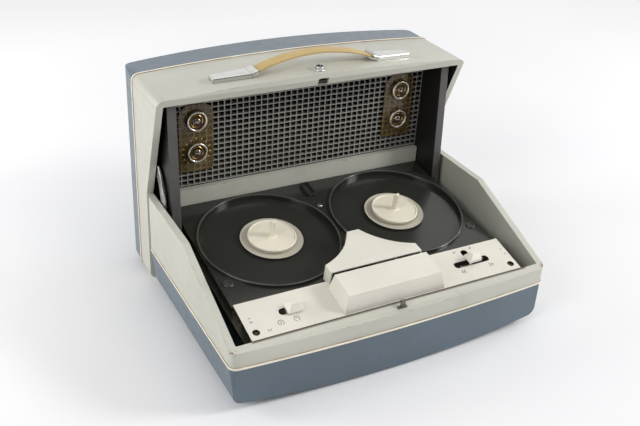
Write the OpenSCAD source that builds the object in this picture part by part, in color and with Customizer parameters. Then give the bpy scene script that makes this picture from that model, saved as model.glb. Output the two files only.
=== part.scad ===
// Portable reel-to-reel tape recorder in a two-part carrying case, lid open.
// Lengths in millimetres, +Z up, +X to the right, +Y to the rear.

/* [Case] */
// Width of the case over its sides
case_w = 430; // [420:1:442]
// Depth of the base from its front corners to its rear face
base_d = 274; // [270:1:282]
// How far the middle of the front bows out past the front corners
front_bow = 7.5; // [5:0.5:9]
// Radius of the upright corners
corner_r = 9; // [7:0.5:11]
// Thickness of the painted frame boards
board_t = 8.5; // [8:0.25:9]
// Height of the front rim above the piping
rim_h = 21; // [19:0.5:22]
// Height of the cheeks above the piping
cheek_h = 77; // [74:0.5:80]
// Depth of the lid's frame behind its rim
lid_side = 39; // [36:0.5:44]
// Gap between the two rims
rim_gap = 0.6; // [0.4:0.1:1]
// Height of the piping
piping_h = 3; // [2:0.25:4]
// How far the piping stands out from the boards
piping_proud = 0.8; // [0.4:0.1:1.5]

/* [Shells] */
// Height of the base shell at its ends
shell_h = 51; // [48:0.5:54]
// Depth of the lid shell at its ends
lid_shell_h = 44; // [42:0.5:50]
// Crown of both shells at mid width
crown = 9; // [6:0.5:11]
// Wall of the shells
shell_wall = 3.5; // [2.5:0.25:4.5]
// Draft angle of the shell sides
draft = 5; // [3:0.5:7]
// Radius of the shells' outer edges
edge_r = 11; // [8:0.5:14]
// Height of the crown's lowest point above the table
foot_gap = 3; // [2.5:0.25:5]
// Radius of the feet
foot_r = 11; // [8:0.5:14]
// Height of the feet
foot_h = 5; // [4:0.25:6]
// Distance between the left and right feet
foot_x = 290; // [260:5:320]
// Distance of the front feet from the front corners
foot_front = 45; // [40:1:70]
// Distance of the rear feet from the rear face
foot_back = 38; // [32:1:55]

/* [Hinge] */
// How far the base pivot sits in from the cheek's rear top corner
pivot_in = 28; // [27:0.5:29]
// How far the lid pivot sits behind the lid's rim
lid_pivot_in = 10; // [9:0.5:11]
// Half width of the hinge links
link_half = 7; // [6:0.5:8]
// Thickness of the hinge links
link_t = 3; // [2:0.25:3.25]
// Radius of the hinge pins
pin_r = 4; // [3:0.25:4.5]
// Radius of the hinge pin heads
pin_head_r = 6.5; // [5.5:0.25:7]
// Radial clearance of turning fits
run_fit = 0.05; // [0.02:0.01:0.1]
// Height of the link tail above the cheek
tail_rise = 40; // [30:1:44]
// How far the link tail sits in front of the cheek's rear corner
tail_in = 13; // [8:1:18]
// Thickness of the hinge posts
post_t = 12; // [10:0.5:13]
// Space between post and side board, where the link lies
link_gap = 7; // [6.8:0.1:7.5]
// How far the hinge posts stand out in front of the baffle board
post_d = 49; // [44:1:50]

/* [Deck] */
// Slope of the deck, front edge down
deck_tilt = 8; // [7:0.25:8.5]
// Height of the well rims above the piping, taken to the front corners
deck_rise = 22.5; // [21:0.25:23]
// Side clearance between the deck and the hinge posts
deck_side = 2.5; // [2:0.25:4]
// Thickness of the deck plate
deck_t = 3; // [2:0.25:4]
// Land between the deck's front edge and the reel wells
well_front = 8.5; // [7:0.25:10]
// Least land between the wells and the deck's rear edge
well_rear = 6.1; // [4:0.1:8]
// Least land between the wells and the deck's sides
well_side = 1; // [0.5:0.1:3]
// Land between the two wells
well_gap = 4; // [3:0.25:6]
// Height of the bead round each well above the deck
bead_h = 4; // [3:0.25:5]
// Width of the bead
bead_w = 3; // [2:0.25:4]
// Depth of the well floor below the deck
well_depth = 3; // [2:0.25:4]
// Height of the room between deck and chassis
chassis_room = 17; // [15:0.5:18]
// Thickness of the chassis plate
chassis_t = 2; // [1.5:0.25:2.5]

/* [Hubs and drive] */
// How far the spindles sit towards the middle from the wells' centres
hub_shift = 3; // [2:0.25:4]
// Radius of the hub flange
hub_r = 40; // [36:0.5:44]
// Radius of the hub table that carries a reel
table_r = 31; // [28:0.5:33]
// Height of the spindle above the hub table
spindle_h = 22; // [18:0.5:23]
// Radius of the spindle over its fins
spindle_r = 4; // [3.5:0.1:4.4]
// Radius of the hub shafts
shaft_r = 4; // [3:0.25:5]
// Radius of the capstan
capstan_r = 3; // [2:0.25:3.5]
// Offset of the capstan to the right of the middle
capstan_x = 26; // [24:0.5:28]
// Radius of the flywheel
flywheel_r = 42; // [36:0.5:44]
// Radius of the motor pulley
pulley_r = 8; // [6:0.5:10]
// Radius of the motor
motor_r = 34; // [30:0.5:36]
// Radius of the pinch roller
roller_r = 9; // [8:0.25:9.5]
// Free gap between tape and pinch roller at rest
roller_gap = 3; // [2.9:0.1:3.4]
// Clearance round moving pieces
move_gap = 0.4; // [0.3:0.05:0.6]

/* [Covers and controls] */
// Slope of the control plate
plate_tilt = 13; // [12:0.25:13.5]
// Depth of the control plate along its slope
plate_d = 55.3; // [53:0.25:56]
// Height of the control plate's front edge above the piping
plate_rise = 21.5; // [20.5:0.1:22]
// Gap between the front board and the control plate
plate_gap = 4.5; // [3.5:0.25:5]
// Thickness of the control plate
plate_t = 1.5; // [1:0.1:2]
// Height of the control plate's front lip
plate_lip = 2.2; // [2.1:0.1:4]
// Length of the front cover at its foot
cover_w = 138; // [132:1:142]
// Height of the front cover over the control plate
cover_h = 21.5; // [20:0.5:22.5]
// Wall of the two covers
cover_wall = 2.2; // [1.5:0.1:2.6]
// Width of the head cover
head_w = 127; // [123:1:129]
// Height of the head cover over the well rims
head_h = 18; // [17.5:0.25:19]
// Where the tape runs, along the slope from the front
tape_v = 62.5; // [62:0.25:63]
// Distance of the three-way lever from the control plate's right end
lever_in = 57.5; // [54:0.5:59]
// Distance of the slide lever's slot from the control plate's left end
slide_in = 45; // [42:0.5:47]
// Half width of the lever slots
slot_half = 4.8; // [4.7:0.05:5]
// Length of the side arms of the three-way lever's slot
slot_side = 26; // [24:0.5:27]
// Length of the rear arm of the three-way lever's slot
slot_up = 21.5; // [20:0.5:22]
// Tilt of the three-way lever to the left, to the right and to the rear
stick_tilt = 9; // [6:0.5:9]
// Travel of the slide lever
slide_run = 12; // [8:0.5:13]

/* [Lid front] */
// Where the grille front lies behind the rim plane's opposite, from the rear face of the base
grille_in = 1.5; // [1:0.25:2]
// Depth of the grille
grille_t = 8; // [6:0.5:8.25]
// Number of grille openings across
cells_x = 44; // [36:1:48]
// Number of grille openings in height
cells_z = 17; // [13:1:19]
// Width of the grille bars
bar_w = 1.4; // [1.2:0.1:1.8]
// Lower edge of the grille above the cheeks
grille_low = 2; // [1:0.5:4]
// Gap between the grille and the lid's top board
grille_gap = 8.5; // [6:0.5:14]
// Thickness of the baffle board
baffle_t = 6; // [5:0.5:8]
// Width of the amber dial plates
dial_w = 46; // [44:0.5:48]
// Height of the grille that shows above and below the dial plates together
dial_land = 36; // [33:0.5:39]
// Thickness of the dial plates
dial_t = 2; // [1.5:0.1:2.4]
// Gap between the dial plates and the hinge posts
dial_gap = 15.5; // [13:0.5:17]
// Distance between upper and lower knobs
knob_pitch = 43; // [40:0.5:46]
// Radius of the knobs
knob_r = 14; // [12.5:0.25:14.5]
// Depth of the knobs
knob_d = 7; // [6:0.25:8]
// Radius of the control shafts
pot_shaft_r = 3; // [2.5:0.1:3.2]
// Radius of the loudspeaker
speaker_r = 62; // [54:1:63]

/* [Handle and lock] */
// Width of the strap
strap_w = 19.5; // [17:0.5:21]
// Thickness of the strap
strap_t = 3; // [2.5:0.25:4]
// Free height under the strap at its middle
strap_rise = 18; // [17:0.5:20]
// Length of the strap between its caps
strap_l = 176; // [168:1:184]
// Length of the strap caps
cap_l = 50; // [44:1:54]
// Width of an end cap at its outer end
cap_tip = 15; // [13:0.5:16]
// Height of the strap caps
cap_h = 6.5; // [6:0.25:8]
// Distance of the strap behind the lid's front edge
strap_y = 29.5; // [28:0.5:32]
// Distance of the lock behind the lid's front edge
lock_y = 14.5; // [13:0.5:16]
// Radius of the lock button
lock_r = 4.4; // [4.2:0.1:4.8]
// Travel of the lock button
lock_run = 2.4; // [1.8:0.1:2.4]

/* [Hidden] */
$fn = 64;
fine = 720;
case_bow_half = case_w / 2 - corner_r;
bow_cut = front_bow - 0.2;
bow_r = (case_bow_half * case_bow_half + bow_cut * bow_cut) / (2 * bow_cut);
line_z = foot_gap + crown + shell_h;
rear_y = base_d + lid_side + lid_shell_h + crown;
case_y = (front_bow + piping_proud - rear_y) / 2;
wall_in = case_w / 2 - board_t;
flat_l = cheek_h + shell_h;
fold_y = base_d - flat_l / 2;
fold_z = flat_l / 2 - shell_h;
lid_top = base_d - shell_h;
lid_front = base_d - (cheek_h - rim_h);
top_z = lid_top + front_bow;
base_pivot = [base_d - pivot_in, cheek_h - pivot_in];
lid_pivot = [base_d + lid_pivot_in, cheek_h - flat_l / 2];
tail_end = [base_d - tail_in, cheek_h + tail_rise];
post_out = wall_in - link_gap;
post_in = post_out - post_t;
link_mid = wall_in - link_gap * 0.4;
deck_half = post_in - deck_side;
deck_top = -bead_h;
chassis_top = deck_top - deck_t - chassis_room;
chassis_low = chassis_top - chassis_t;
deck_front = 69.5;
rear_gap = 1;
deck_rear = (base_d - board_t - rear_gap + (deck_top - deck_t) * sin(deck_tilt)) / cos(deck_tilt);
chassis_front = 12;
chassis_rear = (base_d - board_t - rear_gap + chassis_low * sin(deck_tilt)) / cos(deck_tilt);
well_r = min(
  (deck_rear - deck_front - well_front - well_rear) / 2,
  (deck_half - well_side - well_gap / 2) / 2
);
well_spread = 2 * well_r + well_gap;
hub_spread = well_spread - 2 * hub_shift;
hub_v = deck_front + well_front + well_r;
deck_screw_v = hub_v + 43;
guide_x = well_spread / 2 - 43;
foot_rear = base_d - foot_back;
plate_y = board_t + plate_gap;
screw_well = 4.5;
lever_x = deck_half - lever_in;
slide_x = deck_half - slide_in - 18;
lever_q = plate_d / 2 + 1;
well_floor = deck_top - well_depth;
hub_low = well_floor + 1;
table_w = 1.5;
cap_v = tape_v + capstan_r + 0.3;
roller_v = cap_v - capstan_r - roller_r - roller_gap;
belt_w = -40;
motor_p = [-62, 92];
pinch_p = [50, roller_v - 5.5];
baffle_y = base_d + 7;
grille_y = base_d - grille_in;
dial_y = grille_y - dial_t;
knob_y = dial_y - move_gap;
grille_h = lid_top - board_t - grille_gap - cheek_h - grille_low;
dial_h = grille_h - dial_land;
dial_mid = cheek_h + grille_low + grille_h / 2 + 2.5;
knob_x = post_in - dial_gap - dial_w / 2;
speaker_z = lid_top - board_t - speaker_r - 7.5;
amp_half = post_out - 59.5;
lock_at = lid_front + lock_y;
lock_stem = 3;
strap_end = top_z - bow_at(strap_l / 2) + cap_h / 2;
strap_lift = top_z + strap_rise + strap_t / 2 - strap_end;
strap_arc = (strap_l * strap_l / 4 + strap_lift * strap_lift) / (2 * strap_lift);
strap_mid = strap_end + strap_lift - strap_arc;

// Case frame: front corners at y 0, piping at z 0.
module case() {
  translate([0, case_y, line_z]) children();
}

// Lid as it lies closed on the base, turned to its open place.
module lid_open() {
  translate([0, fold_y, fold_z])
    rotate([-90, 0, 0])
      translate([0, -fold_y, -fold_z])
        children();
}

// Sloping deck: origin on the plane of the well rims.
module deck() {
  translate([0, 0, deck_rise])
    rotate([deck_tilt, 0, 0])
      children();
}

// Sloping control plate: origin at its front top edge.
module plate() {
  translate([0, plate_y, plate_rise])
    rotate([plate_tilt, 0, 0])
      children();
}

// A right-hand piece and its left-hand twin.
module both() {
  children();
  mirror([1, 0, 0]) children();
}

// Side view outline, y to the right and z up, drawn out across the width.
module along_x(x0, x1) {
  translate([x0, 0, 0])
    rotate([90, 0, 90])
      linear_extrude(x1 - x0)
        children();
}

// End view outline, x to the right and z up, drawn out in depth.
module along_y(y0, y1) {
  translate([0, y1, 0])
    rotate([90, 0, 0])
      linear_extrude(y1 - y0)
        children();
}

// Outline turned round an axis that runs to the rear; its height becomes depth.
module turned_y(x, y, z) {
  translate([x, y, z])
    rotate([-90, 0, 0])
      rotate_extrude()
        children();
}

module pin_x(x0, x1, yz, r) {
  translate([x0, yz[0], yz[1]])
    rotate([0, 90, 0])
      cylinder(r = r, h = x1 - x0);
}

// Rectangle with rounded corners, from its lower left corner.
module round_rect(w, h, r) {
  translate([r, 0]) square([w - 2 * r, h]);
  translate([0, r]) square([w, h - 2 * r]);
  for (x = [r, w - r])
    for (y = [r, h - r])
      translate([x, y]) circle(r);
}

// Plan of the case without the bow.
module plan_straight(inset) {
  translate([inset - case_w / 2, inset])
    round_rect(case_w - 2 * inset, base_d - 2 * inset, max(corner_r - inset, 1.5));
}

// Plan of the case with its bowed front.
module plan_bowed(inset) {
  r = corner_r - inset;
  half = case_w / 2 - inset;
  xc = half - r;
  far = base_d - inset;
  lap = 2;
  intersection() {
    translate([0, bow_r - front_bow]) circle(bow_r - inset, $fn = fine);
    union() {
      polygon([
        [-half, corner_r + lap], [-xc, corner_r], [lap - xc, -3 * front_bow], [xc - lap, -3 * front_bow],
        [xc, corner_r], [half, corner_r + lap], [half, far - r - lap], [xc, far - r], [xc - lap, far],
        [lap - xc, far], [-xc, far - r], [-half, far - r - lap]
      ]);
      for (x = [-xc, xc])
        for (y = [corner_r, far - r])
          translate([x, y]) circle(r);
    }
  }
}

module plan_board() {
  difference() {
    plan_bowed(0);
    plan_straight(board_t);
  }
}

// Line where the rims meet, seen from the side; the base lies below it.
module rim_line(lift) {
  far = 2 * front_bow;
  polygon([
    [-far, -shell_h], [base_d + far, -shell_h], [base_d + far, cheek_h + lift],
    [base_d - flat_l, cheek_h + lift], [0, rim_h + lift], [-far, rim_h + lift]
  ]);
}

// End view of a shell: drafted sides, rounded lower edges, crowned floor.
module tray_end(h, inset) {
  half = case_w / 2 - inset;
  low = h - inset;
  r = edge_r - inset;
  step = 1;
  xc = half - (low - r) * tan(draft) - r / cos(draft);
  xt = xc + r * cos(draft) + step * sin(draft);
  zt = r - low - r * sin(draft) + step * cos(draft);
  drop = crown - 0.2;
  crown_r = (xc * xc + drop * drop) / (2 * drop);
  intersection() {
    translate([0, crown_r - low - crown]) circle(crown_r, $fn = fine);
    union() {
      polygon([
        [-half, inset + step], [half, inset + step], [half, 0], [xt, zt], [xc, r - low],
        [xc - 2 * step, -low - 2 * crown], [2 * step - xc, -low - 2 * crown], [-xc, r - low],
        [-xt, zt], [-half, 0]
      ]);
      for (s = [-1, 1])
        translate([s * xc, r - low]) circle(r);
    }
  }
}

// Side view of a shell: straight front, rounded lower rear edge.
module tray_side(h, inset) {
  low = h + crown - inset;
  r = edge_r + crown / 2 - inset;
  far = base_d - inset;
  translate([-2 * front_bow, -low]) square([far - r + 2 * front_bow, low + inset]);
  translate([0, r - low]) square([far, low - r + inset]);
  translate([far - r, r - low]) circle(r);
}

// Solid of a shell, its open side up at z 0.
module tray(h, inset) {
  deep = h + crown + 1;
  intersection() {
    translate([0, 0, -deep]) linear_extrude(deep + inset) plan_front_open(inset);
    along_y(-2 * front_bow, base_d + corner_r) tray_end(h, inset);
    along_x(-case_w, case_w) tray_side(h, inset);
    translate([0, bow_r - front_bow, -deep])
      cylinder(
        r1 = bow_r - inset - deep * tan(draft / 2),
        r2 = bow_r - inset + inset * tan(draft / 2),
        h = deep + inset, $fn = fine
      );
  }
}

module plan_front_open(inset) {
  plan_straight(inset);
  translate([-case_bow_half, -2 * front_bow]) square([2 * case_bow_half, 2 * front_bow + corner_r]);
}

// How far the bowed face falls back at a distance from the middle.
function bow_at(x) = bow_r - sqrt(bow_r * bow_r - x * x);

// Height of the base shell's floor, outside, at a distance from the middle.
function floor_z(x) = -shell_h - crown * (1 - pow(2 * x / case_w, 2));

module foot_places() {
  for (x = [-foot_x / 2, foot_x / 2])
    for (y = [foot_front, foot_rear])
      translate([x, y, 0]) children();
}

module base_shell() {
  h = shell_h - piping_h / 2;
  pad_z = foot_h - line_z;
  boss_z = floor_z(foot_x / 2) + shell_wall / 2;
  color("slategray") case() {
    difference() {
      union() {
        translate([0, 0, -piping_h / 2]) tray(h, 0);
        foot_places() translate([0, 0, pad_z]) cylinder(r = foot_r + 1.5, h = boss_z - pad_z);
      }
      translate([0, 0, -piping_h / 2]) tray(h, shell_wall);
    }
    // columns that carry the chassis
    difference() {
      foot_places() translate([0, 0, boss_z]) cylinder(r = 8, h = 2 * shell_h + cheek_h);
      deck() translate([-case_w, -case_w, chassis_low]) cube([2 * case_w, 3 * case_w, 3 * case_w]);
    }
  }
}

// Piping, proud on three sides and flush at the rear, where the lid swings down.
module piping_ring() {
  translate([0, 0, -piping_h / 2])
    linear_extrude(piping_h)
      difference() {
        plan_bowed(-piping_proud);
        plan_straight(board_t);
        translate([-case_w, base_d]) square([2 * case_w, case_w]);
      }
}

module base_piping() {
  color("wheat") case() piping_ring();
}

module base_frame() {
  notch_z = piping_h / 2 + 7;
  color("lightgray") case()
    difference() {
      intersection() {
        translate([0, 0, piping_h / 2]) linear_extrude(cheek_h) plan_board();
        along_x(-case_w, case_w) rim_line(0);
      }
      both()
        translate([post_in - 1, base_d - board_t - 1, notch_z])
          cube([wall_in - post_in + 1, board_t + 2, cheek_h]);
    }
}

module base_feet() {
  color("dimgray") case()
    foot_places()
      translate([0, 0, -line_z])
        rotate_extrude()
          polygon([[0, 0], [foot_r - 2, 0], [foot_r - 1.2, 0.8], [foot_r, foot_h], [0, foot_h]]);
}

// Places of the deck's spacers, on the slope.
module spacer_places() {
  rear = deck_rear - 10;
  for (p = [[-1, 74], [1, 74], [-1, rear], [1, rear]])
    translate([p[0] * (deck_half - 9), p[1], 0]) children();
  for (v = [118, rear])
    translate([0, v, 0]) children();
}

module hub_places() {
  for (s = [-1, 1])
    translate([s * hub_spread / 2, hub_v, 0]) children();
}

module well_places() {
  for (s = [-1, 1])
    translate([s * well_spread / 2, hub_v, 0]) children();
}

module chassis_plate() {
  color("darkslategray") case() deck()
    difference() {
      translate([-deck_half, chassis_front, chassis_low])
        cube([2 * deck_half, chassis_rear - chassis_front, chassis_t]);
      hub_places() translate([0, 0, chassis_low - 1]) cylinder(r = shaft_r + 4 + 0.2, h = chassis_t + 2);
      translate([capstan_x, cap_v, chassis_low - 1])
        cylinder(r = capstan_r + 4 + 0.2, h = chassis_t + 2);
    }
}

module deck_spacers() {
  color("silver") case() deck()
    spacer_places()
      translate([0, 0, chassis_top])
        cylinder(r = 5, h = chassis_room);
}

// Bead round a well: straight sides under a rounded top.
module bead() {
  r = bead_w / 2;
  rotate_extrude($fn = 128)
    translate([well_r - r, 0]) {
      translate([-r, -deck_t]) square([bead_w, bead_h + deck_t - r]);
      translate([0, bead_h - r]) circle(r, $fn = 24);
    }
}

module deck_plate() {
  color("#2c2e2d") case() deck()
    difference() {
      union() {
        translate([-deck_half, deck_front, deck_top - deck_t])
          cube([2 * deck_half, deck_rear - deck_front, deck_t]);
        well_places() translate([0, 0, deck_top]) bead();
        well_places()
          translate([0, 0, well_floor - deck_t])
            cylinder(r = well_r, h = well_depth + deck_t, $fn = 128);
      }
      well_places()
        translate([0, 0, well_floor])
          cylinder(r = well_r - bead_w, h = well_depth + bead_h, $fn = 128);
      hub_places() translate([0, 0, well_floor - deck_t - 1]) cylinder(r = shaft_r + 5, h = deck_t + 2);
      translate([0, deck_screw_v, deck_top - deck_t - 1]) cylinder(r = 2, h = deck_t + 2);
    }
}

// Land between the two wells, clear of their beads.
module land(v0, v1, half, side) {
  difference() {
    translate([-half, v0]) square([2 * half, v1 - v0]);
    for (s = [-1, 1])
      translate([s * well_spread / 2, hub_v]) circle(well_r + side, $fn = 128);
  }
}

module head_cover() {
  v0 = tape_v + 1.6;
  v1 = hub_v - 42;
  color("whitesmoke") case() deck()
    difference() {
      translate([0, 0, deck_top])
        linear_extrude(head_h - deck_top)
          land(v0, v1, head_w / 2, 3.5);
      translate([0, 0, deck_top - 1])
        linear_extrude(head_h - deck_top - cover_wall + 1)
          land(v0 - 1, v1 - cover_wall, head_w / 2 - cover_wall, 3.5 + cover_wall);
    }
}

module front_cover() {
  d = 45.4;
  rise = cover_h;
  lean = 8;
  color("whitesmoke") case() plate()
    difference() {
      along_x(-cover_w / 2, cover_w / 2)
        polygon([[0.8, 0], [d, 0], [d, rise - 0.5], [lean + 0.8, rise + 0.5]]);
      along_x(cover_wall + 5 - cover_w / 2, cover_w / 2 - cover_wall - 5)
        polygon([
          [cover_wall + 1.2, -1], [d + 1, -1], [d + 1, rise - cover_wall - 0.5],
          [lean + cover_wall + 0.6, rise - cover_wall + 0.4]
        ]);
      both()
        translate([cover_w / 2, -1, 0])
          rotate([0, -14, 0])
            translate([0, 0, -20]) cube([20, d + 2, 3 * rise]);
    }
}

// Slot of the three-way lever: two side arms and one to the rear, with rounded ends.
module tee_slot() {
  r = slot_half - 0.4;
  translate([-slot_side, -slot_half]) round_rect(2 * slot_side, 2 * slot_half, r);
  translate([-slot_half, 0]) round_rect(2 * slot_half, slot_up, r);
}

module control_plate() {
  open_half = head_w / 2 + move_gap;
  color("whitesmoke") case() plate()
    difference() {
      union() {
        translate([-deck_half, 0, -plate_t]) cube([2 * deck_half, plate_d, plate_t]);
        translate([-deck_half, 0, -plate_lip]) cube([2 * deck_half, plate_t, plate_lip]);
        translate([-deck_half, plate_d - plate_t, -5]) cube([2 * deck_half, plate_t, 5]);
        both() translate([deck_half - plate_t, 0, -5]) cube([plate_t, plate_d, 5]);
        both() translate([deck_half - 9, 10, -screw_well]) cylinder(r = 6, h = screw_well - plate_t / 2);
      }
      translate([-open_half, 12, -8]) cube([2 * open_half, plate_d, 12]);
      translate([lever_x, lever_q, -5]) linear_extrude(8) tee_slot();
      translate([-slide_x - 18, lever_q - slot_half, -5])
        linear_extrude(8)
          round_rect(29, 2 * slot_half, slot_half - 0.4);
      both() translate([deck_half - 9, 10, -screw_well - 1]) cylinder(r = 2.2, h = 8);
      both() translate([deck_half - 9, 10, 1 - screw_well]) cylinder(r = 4.4, h = 8);
    }
}

module plate_pillars() {
  color("silver") case()
    difference() {
      plate() both() {
        translate([deck_half - 9, 10, -60]) cylinder(r = 5, h = 60 - screw_well);
        translate([deck_half - 9, plate_d - 9, -60]) cylinder(r = 5, h = 60 - plate_t);
      }
      deck() translate([-case_w, -case_w, chassis_top - 200]) cube([2 * case_w, 3 * case_w, 200]);
      plate() both() translate([deck_half - 9, 10, -14]) cylinder(r = 2, h = 14);
    }
}

// Slotted screw with a low domed head, its seat at z 0.
module screw(r, shank) {
  difference() {
    union() {
      cylinder(r = r, h = 0.8);
      translate([0, 0, 0.8]) cylinder(r1 = r, r2 = r * 0.75, h = 0.7);
      translate([0, 0, -shank]) cylinder(r = 1.9, h = shank);
    }
    translate([-r, -0.4, 0.9]) cube([2 * r, 0.8, 1]);
  }
}

module plate_screws() {
  color("silver") case() plate()
    both() translate([deck_half - 9, 10, 1 - screw_well]) rotate([0, 0, 30]) screw(3.6, 9);
}

module deck_plugs() {
  reach = well_r + 10;
  lead = 37;
  color("dimgray") case() deck() {
    both()
      translate([well_spread / 2 + reach * cos(lead), hub_v - reach * sin(lead), deck_top])
        difference() {
          union() {
            cylinder(r = 6.5, h = 1);
            translate([0, 0, 1]) cylinder(r1 = 6.5, r2 = 5.5, h = 1);
          }
          translate([0, 0, 1.2]) cylinder(r = 4, h = 2);
        }
    translate([0, deck_screw_v, deck_top]) screw(3.4, deck_t);
  }
}

// Narrow open box for the end of the tape.
module tape_clip() {
  half = 6;
  wall = 1.3;
  long = 28;
  color("#3a3c3b") case() deck()
    translate([-half, deck_rear - long - 5, deck_top])
      difference() {
        linear_extrude(4.6) round_rect(2 * half, long, 1.2);
        translate([wall, wall, 1]) cube([2 * (half - wall), long - 2 * wall, 5]);
      }
}

// One tape head: screened block with a rounded face towards the tape.
module head(x, w, h) {
  translate([x - w / 2, tape_v + 3, deck_top + 2]) cube([w, 13, h]);
  translate([x, tape_v + 7, deck_top + 2]) cylinder(r = 6.5, h = h);
}

module tape_heads() {
  half = guide_x - 4;
  color("silver") case() deck() {
    translate([-half, deck_front, deck_top]) cube([2 * half, 14, 2]);
    head(-24, 13, 15);
    head(2, 14, 16);
  }
}

module tape_guides() {
  color("silver") case() deck()
    for (s = [-1, 1])
      translate([s * guide_x, deck_front + 5, deck_top])
        rotate_extrude()
          polygon([[0, 0], [4, 0], [4, 5], [2.2, 5], [2.2, 13], [4, 13], [4, 15], [0, 15]]);
}

// Flanged sleeve that stands on the chassis.
module bearing(r, up, down) {
  translate([0, 0, chassis_low - down])
    difference() {
      union() {
        cylinder(r = r + 4, h = down + chassis_t + up);
        translate([0, 0, down + chassis_t]) cylinder(r = r + 9, h = 3);
      }
      translate([0, 0, -1]) cylinder(r = r + run_fit, h = down + chassis_t + up + 2);
    }
}

module hub_bearings() {
  color("goldenrod") case() deck()
    hub_places() bearing(shaft_r, 9, 14);
}

module capstan_bearing() {
  color("goldenrod") case() deck()
    translate([capstan_x, cap_v, 0]) bearing(capstan_r, 15, 5);
}

module motor() {
  top = belt_w - 8;
  color("gray") case() deck()
    translate([motor_p[0], motor_p[1], 0])
      difference() {
        union() {
          translate([0, 0, top - 30]) cylinder(r = motor_r, h = 30);
          translate([0, 0, top - 32]) cylinder(r = motor_r - 8, h = 2);
          for (a = [80, 170, 260])
            rotate([0, 0, a])
              translate([motor_r - 5, 0, top])
                cylinder(r = 4, h = chassis_low - top);
        }
        translate([0, 0, top - 18]) cylinder(r = 2.5 + run_fit, h = 20);
      }
}

// Outline round two pulleys; the straight runs dip a hair inside the tangents.
module belt_line(grow) {
  a = motor_p;
  b = [capstan_x, cap_v];
  ra = pulley_r + grow;
  rb = flywheel_r + grow;
  dip = 0.15;
  lead = atan2(b[1] - a[1], b[0] - a[0]);
  half = acos((ra - rb) / norm(b - a));
  up = [cos(lead + half), sin(lead + half)];
  down = [cos(lead - half), sin(lead - half)];
  translate(a) circle(ra);
  translate(b) circle(rb, $fn = 128);
  polygon([a + (ra - dip) * up, a + (ra - dip) * down, b + (rb - dip) * down, b + (rb - dip) * up]);
}

module drive_belt() {
  color("black") case() deck()
    translate([0, 0, belt_w - 2.5])
      linear_extrude(5)
        difference() {
          belt_line(move_gap + 2);
          belt_line(move_gap);
        }
}

module mains_transformer() {
  color("dimgray") case() deck()
    translate([deck_half * 0.52, chassis_rear - 45.5, chassis_low]) {
      translate([-32, -14, -46]) cube([64, 28, 46]);
      translate([-20, -26, -40]) cube([40, 12, 34]);
      translate([-20, 14, -40]) cube([40, 12, 34]);
    }
}

// Centre of the three-way lever on the deck's slope, and its pivot height.
stick_y = plate_y + lever_q * cos(plate_tilt);
stick_z = plate_rise + lever_q * sin(plate_tilt) - deck_rise;
stick_v = stick_y * cos(deck_tilt) + stick_z * sin(deck_tilt);
stick_top = stick_z * cos(deck_tilt) - stick_y * sin(deck_tilt);
stick_w = stick_top - 14.5;
stick_pin = 1.6;

module stick_bracket() {
  foot = chassis_top - stick_w;
  color("silver") case() deck()
    translate([lever_x, stick_v, stick_w]) {
      translate([-15, -6, foot]) cube([30, 12, 1.5]);
      both()
        difference() {
          translate([12, -4, foot]) cube([2, 8, 4 - foot]);
          pin_x(11, 15, [0, 0], stick_pin + run_fit);
        }
    }
}

module stick_gimbal() {
  color("darkgray") case() deck()
    translate([lever_x, stick_v, stick_w]) {
      difference() {
        translate([-9, -8, -2.5]) cube([18, 16, 5]);
        translate([-6, -5, -3]) cube([12, 10, 6]);
        translate([0, 9, 0]) rotate([90, 0, 0]) cylinder(r = stick_pin + run_fit, h = 18);
      }
      both() pin_x(9, 14.5, [0, 0], stick_pin);
      both() pin_x(9, 12 - move_gap, [0, 0], 2.4);
    }
}

module stick_lever() {
  color("whitesmoke") case() deck()
    translate([lever_x, stick_v, stick_w]) {
      rise = stick_top - stick_w;
      translate([0, 8, 0]) rotate([90, 0, 0]) cylinder(r = stick_pin, h = 16);
      cylinder(r = 1.9, h = rise + 8);
      sphere(r = 2.6);
      // cap: finger wedge with a ramp on its left
      translate([0, 0, rise + 5])
        intersection() {
          along_x(-10, 10)
            polygon([[-7, 0], [6.5, 0], [7, 3], [4.5, 8.5], [-1, 9], [-7, 3.5]]);
          along_y(-10, 10)
            polygon([[-8.5, 0], [8.5, 0], [9.5, 3], [8.5, 9], [-2, 9], [-9.5, 2]]);
        }
    }
}

module slide_guide() {
  color("silver") case() {
    plate()
      translate([-slide_x - 2, lever_q, 0]) {
        translate([-24, 4.8, -12]) cube([46, 2, 9]);
        translate([-24, -6.8, -12]) cube([46, 2, 9]);
        translate([-24, -6.8, -13.5]) cube([46, 13.6, 1.5]);
      }
    difference() {
      plate()
        for (x = [-11, 9])
          translate([x - slide_x - 2, lever_q, -60]) cylinder(r = 4, h = 60 - 13.5);
      deck() translate([-case_w, -case_w, chassis_top - 200]) cube([2 * case_w, 3 * case_w, 200]);
    }
  }
}

module slide_lever() {
  color("whitesmoke") case() plate()
    translate([-slide_x, lever_q, 0]) {
      translate([-6, -4.8 + move_gap, -11.5]) cube([12, 9.6 - 2 * move_gap, 7]);
      translate([-3, -3, -5]) cube([6, 6, 8]);
      // paddle: finger wedge with a ramp on its left
      intersection() {
        along_x(-10, 10)
          polygon([[-7.5, 1], [7, 1], [7.5, 4], [4.5, 9.5], [-1, 10], [-7.5, 3.5]]);
        along_y(-10, 10)
          polygon([[-9.5, 0], [9.5, 0], [9.5, 9], [8.5, 11], [-3, 11], [-9.5, 3]]);
      }
    }
}

module pinch_post() {
  color("silver") case() deck()
    translate([pinch_p[0], pinch_p[1], 0]) {
      translate([0, 0, chassis_top]) cylinder(r = 5, h = -4.5 - chassis_top);
      translate([0, 0, -4.5]) cylinder(r = 2.5, h = 12);
    }
}

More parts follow.
